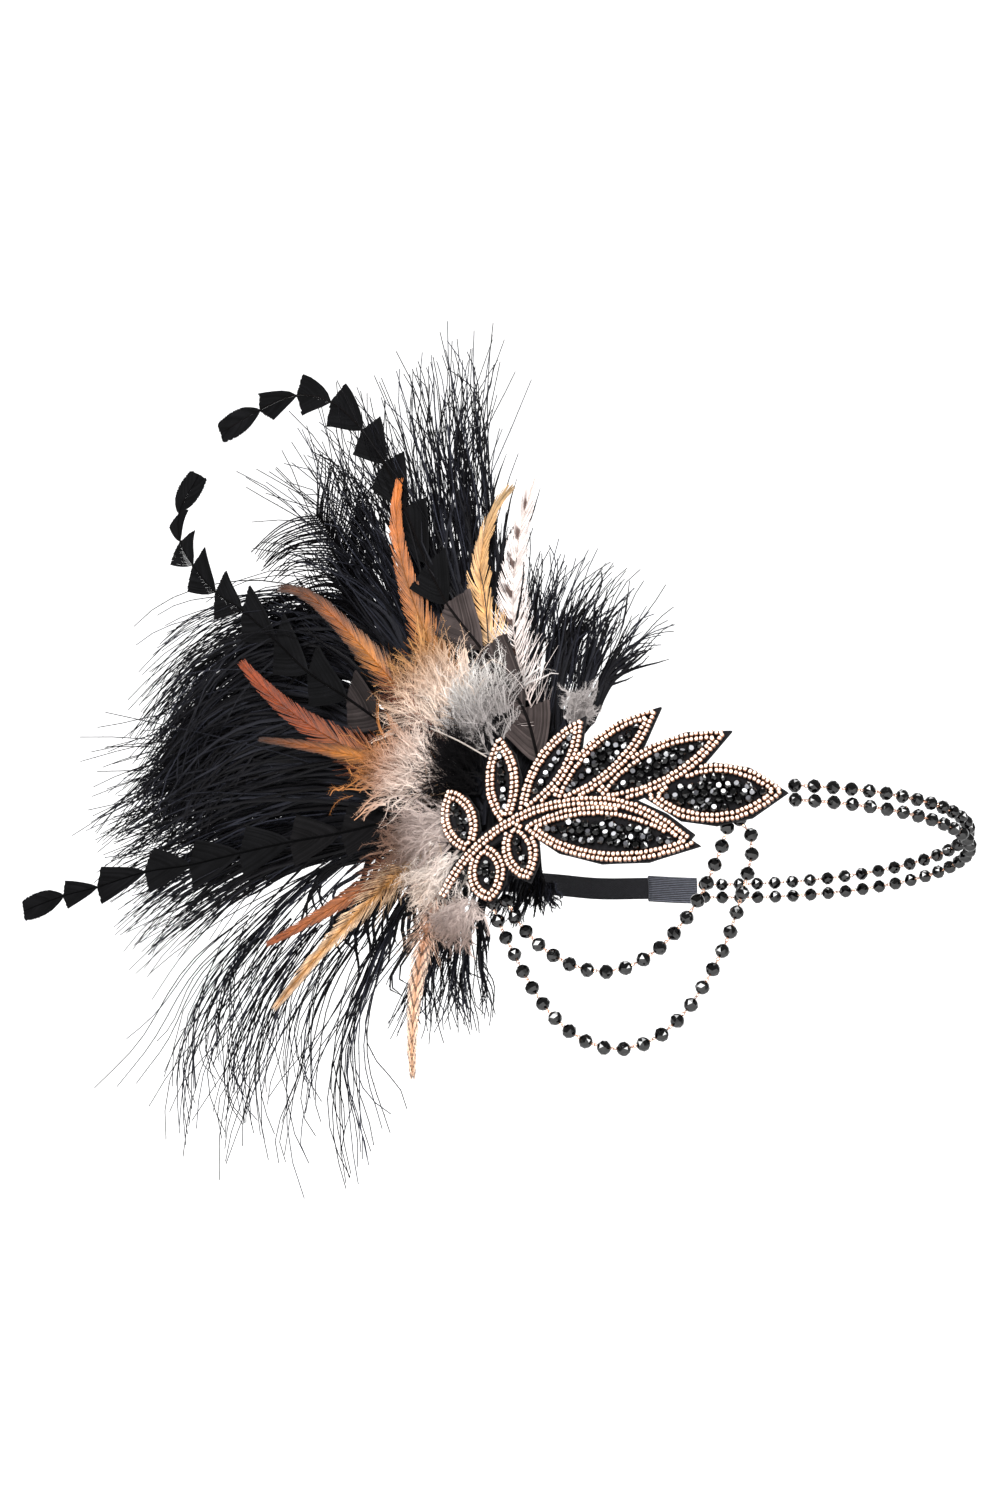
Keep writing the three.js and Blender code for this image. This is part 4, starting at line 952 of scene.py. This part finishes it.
def plume_barbs(row, layer, dice, count, leaves, reach, spread, from_hub):
    """Barb paths (count, stations, 3): guide line at share t, left at share u, then its own bend and waves."""
    root_x, root_z, headings, turns, lengths, _, root_spread, _, _, wave = row
    groups = -(-count // CLUMP)
    t = np.clip(by_clump(dice.uniform(0, 1, groups), count) + dice.normal(0, 0.02, count), -0.05, 1.05)
    leave = by_clump(dice.uniform(*leaves, groups), count) + dice.uniform(0, 0.06, count)
    heading, turn, length = between(headings, t), between(turns, t), between(lengths, t) * FAN_REACH
    middle = np.radians(sum(headings) / 2)
    sideways = np.array([-math.sin(middle), math.cos(middle)]) * np.sign(headings[1] - headings[0])
    root = np.array([root_x, root_z]) * LEAF_LENGTH + sideways * ((t - 0.5) * 2 * root_spread)[:, None]
    guide = lines(root, heading, turn, 1.4, length, 25)
    starts, _ = along_paths(guide, leave[:, None])
    own_heading = heading + turn * leave**1.4 + by_clump(dice.normal(0, spread, groups), count)
    own_turn = turn * (1 - leave**1.4) + by_clump(dice.normal(0, 2 * spread, groups), count)
    own_length = length * (1 - leave) * dice.uniform(*reach, count)
    flat = lines(starts[:, 0], own_heading + dice.normal(0, 2.5, count), own_turn + dice.normal(0, 9, count), 1.3,
                 own_length, BARB_STATIONS)
    share = np.linspace(0, 1, BARB_STATIONS)[None]
    flat = waved(flat, share, dice.uniform(0.2, 1, (count, 1)) * wave, dice)
    if from_hub:
        flat[:, 0] = HUB + dice.normal(0, 5, (count, 2))
    depth = PLUME_DEPTH + PLUME_STEP * layer + LIFT
    rise = dice.normal(0, 6.5, (count, 1)) * (share * own_length[:, None] / 130) ** 1.2
    return fan_place(flat, depth + rise + np.cos(share * dice.uniform(4, 9, (count, 1))) * share, layer)


def comb_barbs(layer, dice):
    """Barbs that leave a bare shaft one by one: short and upright on its right, drooping in arcs on its left."""
    shaft = smooth_line(np.array(COMB_SHAFT))
    count = 2 * COMB_BARBS
    at = np.tile(np.linspace(0.0, 0.97, COMB_BARBS), 2)
    left = np.repeat([0.0, 1.0], COMB_BARBS)
    starts, ahead = along_paths(shaft[None], at[None])
    heading = np.degrees(np.arctan2(ahead[0, :, 1], ahead[0, :, 0])) + np.where(left, 32 + 14 * at, -24 - 14 * at)
    turn = np.where(left, 52 + 30 * (1 - at), 10 - 22 * at) + dice.normal(0, 5, count)
    length = np.where(left, 48 - 12 * at, 62 - 34 * at) * dice.uniform(0.8, 1.08, count)
    flat = lines(starts[0], heading + dice.normal(0, 2.5, count), turn, 1.1, length, BARB_STATIONS)
    share = np.linspace(0, 1, BARB_STATIONS)[None]
    flat = waved(flat, share, dice.uniform(0.4, 1.6, (count, 1)), dice)
    depth = PLUME_DEPTH + PLUME_STEP * layer + LIFT
    barbs = fan_place(flat, depth + dice.normal(0, 2.0, (count, 1)) * share, layer)
    return barbs, strands(fan_place(shaft, depth - LIFT, layer)[None], np.linspace(1.0, 0.3, len(shaft))[None])


ostrich = new_material("black_ostrich", rgb(29, 29, 33), 0.5, scale=70, amount=0.4, streak=0.2,
                       Specular_IOR_Level=0.1)
coloured(ostrich, ramp(ostrich.node_tree, mark_of(ostrich.node_tree, "tone"),
                       [(0.0, rgb(16, 15, 17)), (0.6, rgb(24, 24, 27)), (1.0, rgb(46, 47, 54))]))


def plume_shape(row, layer, dice):
    """Broad inner strands, loose outer barbs that thin towards their tips, and their barbules."""
    share = np.linspace(0, 1, BARB_STATIONS)[None]
    count = row[5]
    inner = plume_barbs(row, layer, dice, count // INNER_PART.get(layer, 3), (0.0, 0.2), row[7], 5, True)
    outer = plume_barbs(row, layer, dice, count, (0.0, 0.5), row[8], 7, False)
    tones = dice.uniform(0, 1, (count, 1))
    broad = strands(inner, np.broadcast_to(BROAD_WIDTH * (1.02 - share) ** 0.6, inner.shape[:2]), thickness=0.3,
                    tone=np.broadcast_to(dice.uniform(0, 0.8, (len(inner), 1)), inner.shape[:2]))
    fine = strands(outer, np.broadcast_to(between(FINE_WIDTHS, share), outer.shape[:2]),
                   tone=np.broadcast_to(tones, outer.shape[:2]))
    parts = [broad, fine, fuzz(outer, LOOSE_HAIRS.get(layer, HAIRS), 2.3, 0.28, 36, dice, tone=tones[:, 0]),
             fuzz(inner, 16, 3.2, 0.34, 40, dice, tone=dice.uniform(0, 1, len(inner)))]
    if layer == COMB_LAYER:
        barbs, shaft = comb_barbs(layer, dice)
        parts += [strands(barbs, np.broadcast_to(between(COMB_WIDTHS, share), barbs.shape[:2])), shaft,
                  fuzz(barbs, 26, 1.8, 0.34, 38, dice)]
    return join(*parts)


for layer, row in enumerate(PLUMES):
    made = plume_shape(row, layer, np.random.default_rng(100 + layer))
    add_piece(f"plume_barbs_{layer + 1}", moved(made, on_head), ostrich,
              [f"ostrich_plume_{layer + 1}"])

# %% [markdown]
# Cut goose feathers: scissors have cut the vane to a row of arrow heads. The barbs lean forwards from the quill
# and lie side by side, so a cut step is simply the barbs of one stretch, each ended where it meets the cut line.
# Building them one by one gives the fine furrows and the slightly uneven cut for nothing.

# %% Cut goose feathers
ARROWS = [  # joints of the steps along the quill in mm, half width of each step, where its two corners lie
    # before (-) or past (+) the joint, as shares of the step, greyness and forward lift of the lower steps
    ([(-26.6, 20.7), (-33.2, 44.4), (-52.3, 74.4), (-68.7, 98.3), (-80, 120.8), (-90.2, 147.6), (-100.1, 171),
      (-110.8, 189), (-126.5, 206), (-144.1, 213.4), (-163.7, 211.1), (-184.4, 205.1)],
     [11, 11.4, 11.2, 10.6, 10.4, 10, 9.6, 9.7, 9.2, 7.6, 6], (-0.27, -0.09), 1.0, 4.2),
    ([(-66.7, 23.7), (-81.2, 37), (-100.6, 52.6), (-119.5, 68.3), (-139.2, 83.8), (-156.2, 101.8), (-173.4, 119.1),
      (-187.4, 130.4), (-199.4, 145.5), (-206.3, 158.1), (-206.8, 171.8), (-196.2, 187.8)],
     [11, 11.4, 11.4, 11.2, 10.8, 10.4, 10, 9, 8.6, 4.4, 6.2], (-0.42, 0.15), 0.45, 0.0),
    ([(-66.7, 8.8), (-95.3, 10), (-121.4, 8.7), (-146.4, 8.7), (-171.4, 7.6), (-196.6, 5.9), (-219.6, 5.9),
      (-244, 2.3), (-261.8, 0.4), (-282, -4)], [10.5, 11, 11, 11, 10.6, 9.8, 8.2, 6.4, 5.6], (-0.1, -0.14), 0.1, 0.0)]
ARROW_DEPTH = 5.7
STEP_BARBS = 22
LEAF_FOOT, LEAF_GAIN = 0.32, 1.15
LIFT_END, LIFT_RUN = 0.34, 0.08
PALE_STEPS = 3
VANE_STATIONS = 6


def vane(line, start, stop, out, widths, depth, layer, bulge=0.8, thickness=0.12, rise=0.05, **marks):
    """Flat barbs in the quill's own frame: from share start on the quill to share stop, out * u ** bulge beside it."""
    beyond = line[-1] + (line[-1] - line[-2]) * np.arange(1, 9)[:, None]
    longer = np.concatenate([line, beyond])
    u = np.linspace(0, 1, VANE_STATIONS)[None]
    at = (start[:, None] + (stop - start)[:, None] * u) * (len(line) - 1) / (len(longer) - 1)
    spots, ahead = along_paths(np.broadcast_to(longer, (len(at),) + longer.shape), at)
    beside = np.stack([-ahead[..., 1], ahead[..., 0]], -1)
    flat = spots + beside * (out[:, None] * u**bulge)[..., None]
    paths = fan_place(flat, depth - rise * np.abs(out)[:, None] * u, layer)
    spread = {name: np.broadcast_to(np.asarray(value)[:, None], at.shape) for name, value in marks.items()}
    place = np.clip(start[:, None] + (stop - start)[:, None] * u, 0, 1)
    return strands(paths, np.broadcast_to(widths, at.shape), thickness=thickness,
                   across=np.broadcast_to(u, at.shape), along=place, **spread)


def arrow_shape(row, dice):
    """For each step, barbs from both sides of the quill, ended on the straight cut from corner to next joint.

    The last step is a small leaf: its half width is the sine of 0.7 pi share ** 0.8, cut off square at its end."""
    joints, widths, slants, grey, front = row
    steps = len(widths)
    line = smooth_line(np.array(joints, float), 8)
    step = np.repeat(np.arange(steps), 2 * STEP_BARBS)
    side = np.tile(np.repeat([1, -1], STEP_BARBS), steps)
    q = np.tile(np.arange(STEP_BARBS) / (STEP_BARBS - 1), 2 * steps)
    half = np.array(widths)[step]
    slant = np.where(side > 0, slants[0], slants[1])
    last = step == steps - 1
    skew = np.repeat(dice.uniform(-0.04, 0.04, 2 * steps), STEP_BARBS)
    ragged = dice.normal(0, 0.008, len(q))
    stop = 1 + (slant + skew) * (1 - q) + ragged
    out = half * (1 - 0.96 * q)
    leaf_stop = np.minimum(LEAF_FOOT + LEAF_GAIN * q, 1.0)
    cut_from = (1 - LEAF_FOOT) / LEAF_GAIN
    edge = np.sin(0.7 * math.pi * leaf_stop**0.8) * np.where(q > cut_from, (1 - q) / (1 - cut_from), 1)
    stop = step + np.where(last, leaf_stop + ragged, np.maximum(stop, q * 0.98 + 0.02))
    out = np.where(last, half * edge, out)
    start = step + q * 0.98
    u = np.linspace(0, 1, VANE_STATIONS)[None]
    stride = np.linalg.norm(np.diff(joints, axis=0), axis=1)[step]
    spacing = stride / STEP_BARBS * np.where(last, 1.25, 0.82)
    pale = grey * (step < PALE_STEPS)
    lift = front * np.clip((LIFT_END - start[:, None] / steps) / LIFT_RUN, 0, 1) + 0 * u
    barbs = vane(line, start / steps, stop / steps, side * out, spacing[:, None] * (0.95 + 0.3 * u),
                 ARROW_DEPTH - lift, 0, bulge=0.74, pale=pale, tone=dice.uniform(0, 1, len(q)))
    share = np.linspace(0, 1, len(line))
    path = fan_place(line, ARROW_DEPTH - 0.25 - front * np.clip((LIFT_END - share) / LIFT_RUN, 0, 1), 0)[None]
    quill = strands(path, (1.3 - 0.95 * share)[None], pale=np.full((1, len(line)), 0.3 * grey),
                    tone=share[None] * 0)
    return join(barbs, quill)


goose = new_material("cut_goose", rgb(16, 16, 17), 0.6, scale=90, amount=0.5, streak=0.5, Specular_IOR_Level=0.03)
coloured(goose, ramp(goose.node_tree, mark_of(goose.node_tree, "pale"),
                     [(0.0, rgb(17, 17, 18)), (1.0, rgb(56, 50, 49))]))
for number, row in enumerate(ARROWS, 1):
    made = arrow_shape(row, np.random.default_rng(200 + number))
    add_piece(f"cut_vanes_{number}", moved(made, on_head), goose, [f"arrow_feather_{number}"])

# %% [markdown]
# Rooster hackles are long and pointed, glossy where the barbs zip together and downy at the base. Both kinds of
# barb grow from the same quill, so one function makes them: short, stiff and close for the blade, long, soft
# and wavy for the down. The colour runs along the quill, so the material reads it from the marks.

# %% Rooster hackles
HACKLES = [  # root x, root z, length, width, heading, turn, power, layer, kind, hairs of down
    (-0.41, 0.257, 0.443, 0.055, 113, -38, 3.9, 1, "flame", 110),
    (-0.485, 0.26, 0.413, 0.05, 129, 43, 8, 0, "ember", 90),
    (-0.46, 0.118, 0.453, 0.058, 154, -27, 1.8, 1, "rust", 110),
    (-0.514, 0.146, 0.324, 0.032, 150, 15, 0.8, 0, "ember", 90),
    (-0.54, -0.018, 0.289, 0.038, 206, -8, 1.6, 1, "russet", 110),
    (-0.51, -0.02, 0.335, 0.048, 212, 16, 1.3, 0, "gold", 110),
    (-0.476, -0.12, 0.294, 0.038, 238, 38, 0.7, 0, "blush", 110),
    (-0.22, 0.285, 0.382, 0.066, 115, -79, 2.6, 1, "amber", 0),
    (-0.175, 0.24, 0.39, 0.075, 121, -54, 0.8, 1, "barred", 60)]
HACKLE_BASE = {"amber": 0.3}
RAGGED = {"amber": 0.5, "gold": 0.3, "barred": 0.15}
HACKLE_DEPTH = (2.6, 4.0)
HACKLE_WIDTHS = [0.5, 1.0, 1.05, 0.8, 0.58, 0.44, 0.26]
HACKLE_DIM = {"barred": 1.0, "blush": 1.0, "amber": 1.0}
GLOSSY_DIM = 0.84
BLADE_BARBS = 120
KINDS = {  # colour stops along the quill, edge colour, its share, bars: colour, count, strength
    "flame": ([(0, (230, 204, 170)), (0.2, (204, 156, 96)), (0.42, (156, 102, 50)), (0.6, (138, 86, 46)),
               (1, (180, 98, 34))], (140, 76, 32), 0.45, (120, 50, 14), 0, 0.0),
    "ember": ([(0, (80, 32, 14)), (0.25, (116, 48, 18)), (0.5, (172, 104, 36)), (0.72, (136, 74, 28)),
               (1, (86, 48, 24))], (20, 14, 12), 0.75, (60, 26, 10), 0, 0.0),
    "rust": ([(0, (224, 194, 160)), (0.18, (194, 138, 86)), (0.4, (130, 72, 30)), (0.7, (118, 52, 18)),
              (1, (128, 54, 18))], (92, 42, 18), 0.5, (70, 30, 14), 0, 0.0),
    "russet": ([(0, (200, 176, 156)), (0.3, (112, 66, 40)), (0.6, (150, 88, 50)), (1, (140, 74, 38))],
               (84, 54, 44), 0.5, (70, 34, 20), 0, 0.0),
    "gold": ([(0, (210, 182, 146)), (0.3, (170, 118, 62)), (0.7, (178, 124, 66)), (1, (168, 112, 54))],
             (190, 174, 154), 0.6, (74, 50, 34), 9, 0.4),
    "blush": ([(0, (176, 150, 138)), (0.35, (150, 106, 80)), (0.7, (178, 136, 106)), (1, (164, 118, 82))],
              (208, 192, 178), 0.55, (56, 38, 30), 12, 0.85),
    "amber": ([(0, (200, 172, 144)), (0.36, (192, 158, 122)), (0.5, (176, 132, 84)), (0.75, (150, 112, 72)),
               (1, (122, 102, 76))], (172, 138, 98), 0.5, (120, 70, 30), 0, 0.0),
    "barred": ([(0, (180, 164, 158)), (0.3, (188, 176, 171)), (1, (180, 166, 160))], (196, 188, 186), 0.5,
               (56, 34, 26), 9, 1.0)}
BAR_SLANT = {"barred": -0.05}
BAR_REACH = {"barred": 0.95}


def make_barring():
    """Group: Color towards Edge by across * Edge Share, and bars where 2.4 sin(phase) - 0.8 is high.

    The phase is 2 pi Bars (along + Slant * across) + 2 noise, and the bars fade where across passes Reach."""
    group, given, result = new_group("rim_and_bars", ["Color", "Edge", "Bar"],
                                     ["Edge Share", "Bars", "Strength", "Reach", "Slant", "One Side"])
    give = given.outputs
    noise = noise_in(group)
    noise.inputs["Scale"].default_value = 260
    along, across, left = (mark_of(group, name) for name in ("along", "across", "left"))
    rim = mixed(group, math_node(group, "MULTIPLY", across, give["Edge Share"]), give["Color"], give["Edge"])
    slanted = math_node(group, "MULTIPLY_ADD", across, give["Slant"], along)
    turns = math_node(group, "MULTIPLY", slanted, give["Bars"])
    waver = math_node(group, "MULTIPLY", noise.outputs["Fac"], 2.0)
    phase = math_node(group, "MULTIPLY_ADD", turns, 2 * math.pi, waver)
    wave = math_node(group, "MULTIPLY_ADD", math_node(group, "SINE", phase), 2.4, -0.8, clamp=True)
    near = math_node(group, "MULTIPLY", math_node(group, "SUBTRACT", give["Reach"], across), 1.8, clamp=True)
    one_side = math_node(group, "MULTIPLY", give["One Side"], math_node(group, "SUBTRACT", 1.0, left))
    kept = math_node(group, "MULTIPLY", near, math_node(group, "SUBTRACT", 1.0, one_side))
    mask = math_node(group, "MULTIPLY", math_node(group, "MULTIPLY", wave, kept), give["Strength"], clamp=True)
    group.links.new(mixed(group, mask, rim, give["Bar"]), result.inputs["Color"])
    return group


barring = make_barring()


def hackle_material(kind):
    """Ramp along the quill, then the rim and bars of the kind."""
    stops, edge, edge_share, bar, bars, strength = KINDS[kind]
    material = new_material(f"hackle_{kind}", rgb(200, 120, 60), 0.42, scale=260, amount=0.45, streak=0.4,
                            Specular_IOR_Level=0.25)
    tree = material.node_tree
    group = tree.nodes.new("ShaderNodeGroup")
    group.node_tree = barring
    dim = HACKLE_DIM.get(kind, GLOSSY_DIM)
    stops = [(share, rgb(*(dim * np.array(tone)))) for share, tone in stops]
    tree.links.new(ramp(tree, mark_of(tree, "along"), stops), group.inputs["Color"])
    values = {"Edge": rgb(*edge), "Bar": rgb(*bar), "Edge Share": edge_share, "Bars": bars, "Strength": strength,
              "Reach": BAR_REACH.get(kind, 2.0), "Slant": BAR_SLANT.get(kind, 0.12),
              "One Side": float(kind == "barred")}
    for socket, value in values.items():
        group.inputs[socket].default_value = value
    coloured(material, group.outputs["Color"])
    return material


hackle_materials = {kind: hackle_material(kind) for kind in KINDS}


def hackle_shape(row, dice):
    """Blade barbs out to half the width, down at the base, and the quill."""
    root_x, root_z, length, width, heading, turn, power, layer, kind, down = row
    root = np.array([[root_x, root_z]]) * LEAF_LENGTH
    reach = length * FAN_REACH
    line = lines(root, np.array([heading]), np.array([turn]), power, np.array([reach]), 33)[0]
    start = np.tile(np.linspace(HACKLE_BASE.get(kind, 0.14), 0.99, BLADE_BARBS), 2)
    side = np.repeat([1, -1], BLADE_BARBS)
    loose = np.clip((0.52 - start) / 0.34, 0, 1)
    stop = start + (0.10 + 0.03 * loose) * dice.uniform(0.8, 1.15, len(start))
    stop = np.minimum(stop, 1.0 + 0.02 * dice.uniform(0, 1, len(start)))
    half = np.interp(stop, np.linspace(0, 1, len(HACKLE_WIDTHS)), HACKLE_WIDTHS) * width * FAN_REACH / 2
    half = half * np.clip((1.0 - start) / 0.09, 0.0, 1)
    torn = np.repeat(dice.uniform(-1, 0.25, len(start) // 8), 8) * RAGGED.get(kind, 0.08)
    out = side * half * (1 + 0.25 * loose * dice.normal(0, 1, len(start)) + torn)
    out = out * dice.uniform(0.9, 1.05, len(start))
    u = np.linspace(0, 1, VANE_STATIONS)[None]
    widths = (0.62 - 0.3 * loose)[:, None] * (1.05 - 0.75 * u**1.5)
    depth = HACKLE_DEPTH[layer] + dice.normal(0, 0.08 + 0.6 * loose)
    blade = vane(line, start, stop, out, widths, depth[:, None], layer - 2, rise=0.12,
                 tone=dice.uniform(0, 1, len(start)), left=np.repeat([1.0, 0.0], BLADE_BARBS))
    at = dice.uniform(0.0, 0.34, down)
    away = dice.uniform(5, 13, down) * dice.choice([1, -1], down)
    soft = vane(line, at, at + dice.uniform(0.03, 0.16, down), away, 0.3 - 0.2 * u,
                HACKLE_DEPTH[layer] + dice.normal(0, 1.4, (down, 1)), layer - 2,
                bulge=dice.uniform(0.6, 1.4, (down, 1)), thickness=0.7, rise=0.1, tone=dice.uniform(0, 1, down))
    bare = int(HACKLE_BASE.get(kind, 0) * len(line))
    path = fan_place(line[bare:], HACKLE_DEPTH[layer] - 0.3, layer - 2)[None]
    share = np.linspace(bare / len(line), 1, path.shape[1])[None]
    quill = strands(path, 0.75 - 0.6 * share, along=share, across=share * 0, tone=share * 0 + 0.5)
    return join(blade, soft, quill)


for number, row in enumerate(HACKLES, 1):
    made = hackle_shape(row, np.random.default_rng(300 + number))
    add_piece(f"hackle_barbs_{number}", moved(made, on_head), hackle_materials[row[8]],
              [f"hackle_{number}"])

# %% [markdown]
# The down between the hackles and the leaf is what is left of the feathers' bases: very fine, wavy hairs that
# spread from the hub outwards and lie over each other. Each fluff fans its hairs about the direction away from
# the hub, and each hair has a few finer ones.

# %% Down
FLUFFS = [  # number, x, z, half width, half height (shares of the leaf), depth, hairs, share of the outer colour,
    # colours inside and outside
    (1, -0.548, 0.455, 0.13, 0.13, 1.2, 340, 1.0, (220, 202, 188), (164, 120, 76)),
    (2, -0.65, 0.215, 0.13, 0.11, 1.2, 340, 1.0, (218, 202, 192), (154, 102, 60)),
    (3, -0.385, 0.37, 0.11, 0.12, 1.8, 360, 1.0, (160, 154, 152), (216, 212, 208)),
    (3, -0.07, 0.295, 0.045, 0.05, 4.5, 130, 0.3, (160, 154, 152), (216, 212, 208)),
    (4, -0.475, 0.20, 0.10, 0.12, 1.2, 280, 1.0, (16, 15, 16), (24, 22, 24)),
    (5, -0.575, -0.01, 0.12, 0.09, 1.2, 300, 1.0, (194, 180, 174), (106, 82, 70)),
    (6, -0.525, -0.15, 0.085, 0.075, 1.2, 240, 1.0, (222, 212, 205), (194, 178, 166)),
    (7, -0.45, -0.275, 0.07, 0.065, 1.2, 210, 1.0, (186, 172, 166), (140, 122, 114))]
DOWN_STATIONS = 6
BLACK_DOWN = 4
PALE_QUILL = [(-74.4, 42.7), (-61, 34.5), (-48.2, 25.3)]
QUILL_TONE = (176, 166, 158)
FIRST_SEED = 400
FLUFF_LAYER = -2
UNDER_DEPTH, UNDER_WIDTH = 1.5, 3.2
QUILL_LIFT, QUILL_WIDTH = 5.0, 0.6


def down_material(name, root_colour, tip_colour):
    """Soft hair: colour from the fluff's inner side to its outer side, and its quill paler still."""
    material = new_material(name, rgb(*root_colour), 0.8, scale=120, amount=0.25, streak=0.14,
                            Specular_IOR_Level=0.1)
    tree = material.node_tree
    stops = [(0.2, rgb(*root_colour)), (0.85, rgb(*tip_colour)), (1.0, rgb(*QUILL_TONE))]
    coloured(material, ramp(tree, mark_of(tree, "across"), stops))
    return material


def fluff_shape(row, dice):
    """Hairs thickest at the fluff's middle, headed away from the hub -/+ a wide spread, with waves.

    The mark across is the place from the inner to the outer side: 0.45 + 0.4 * (way outwards / half size)."""
    number, x, z, half_width, half_height, deep, count, outer, _, _ = row
    centre = np.array([x, z]) * LEAF_LENGTH
    size = np.array([half_width, half_height]) * LEAF_LENGTH
    away = unit(centre - HUB)
    spots = centre + dice.normal(0, 0.42, (count, 2)) * size - away * size.mean() * 0.3
    outwards = np.degrees(math.atan2(away[1], away[0]))
    offset = (spots - centre) @ np.array([-away[1], away[0]]) / size.mean()
    heading = outwards + offset * 40 + dice.normal(0, 24, count)
    reach = dice.uniform(0.35, 1.05, count) * size.mean()
    flat = lines(spots, heading, dice.normal(0, 34, count), 1.0, reach, DOWN_STATIONS)
    share = np.linspace(0, 1, DOWN_STATIONS)[None]
    flat = waved(flat, share, dice.uniform(0.4, 1.6, (count, 1)), dice)
    rise = dice.uniform(-1.5, 5.0, (count, 1)) * np.sin(share * 2.6) + dice.normal(0, 0.3, (count, 1))
    paths = fan_place(flat, deep - rise, FLUFF_LAYER)
    widths = np.broadcast_to(0.36 - 0.26 * share, flat.shape[:2])
    across = outer * np.clip(0.45 + 0.4 * ((flat - centre) @ away) / size.mean(), 0, 0.85)
    tone = np.broadcast_to(dice.uniform(0, 1, (count, 1)), flat.shape[:2])
    hair = strands(paths, widths, across=across, tone=tone)
    few = slice(0, count // 2)
    under = strands(fan_place(flat[few], deep + UNDER_DEPTH, FLUFF_LAYER), UNDER_WIDTH * widths[few],
                    thickness=0.15, across=across[few], tone=tone[few])
    parts = [hair, under, fuzz(paths, 18, 3.2, 0.13, 44, dice, across=across.mean(axis=1), tone=tone[:, 0])]
    if number == BLACK_DOWN:
        quill = fan_place(smooth_line(np.array(PALE_QUILL)), deep - QUILL_LIFT, FLUFF_LAYER)[None]
        parts.append(strands(quill, np.full(quill.shape[:2], QUILL_WIDTH), across=np.ones(quill.shape[:2])))
    return join(*parts)


for number in range(1, 8):
    rows = [row for row in FLUFFS if row[0] == number]
    made = join(*(fluff_shape(row, np.random.default_rng(FIRST_SEED + 10 * k + number))
                  for k, row in enumerate(rows)))
    add_piece(f"down_tuft_{number}", moved(made, on_head), down_material(f"down_{number}", *rows[0][8:]),
              [f"fluff_{number}"])

# %% [markdown]
# Last, for each axis the script prints how far the dressed model stands past the box of the imported one, beside a
# small spare, so that it is easy to see that nothing has grown past its place.

# %% Sizes and the end
dressed_box = [list(corner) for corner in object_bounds()]
for name, low, high, new_low, new_high in zip("xyz", *cad_box, *dressed_box):
    spare = 0.03 * (high - low) + 0.010
    print(name, "stands proud by", round(max(low - new_low, new_high - high), 4), "of", round(spare, 4))
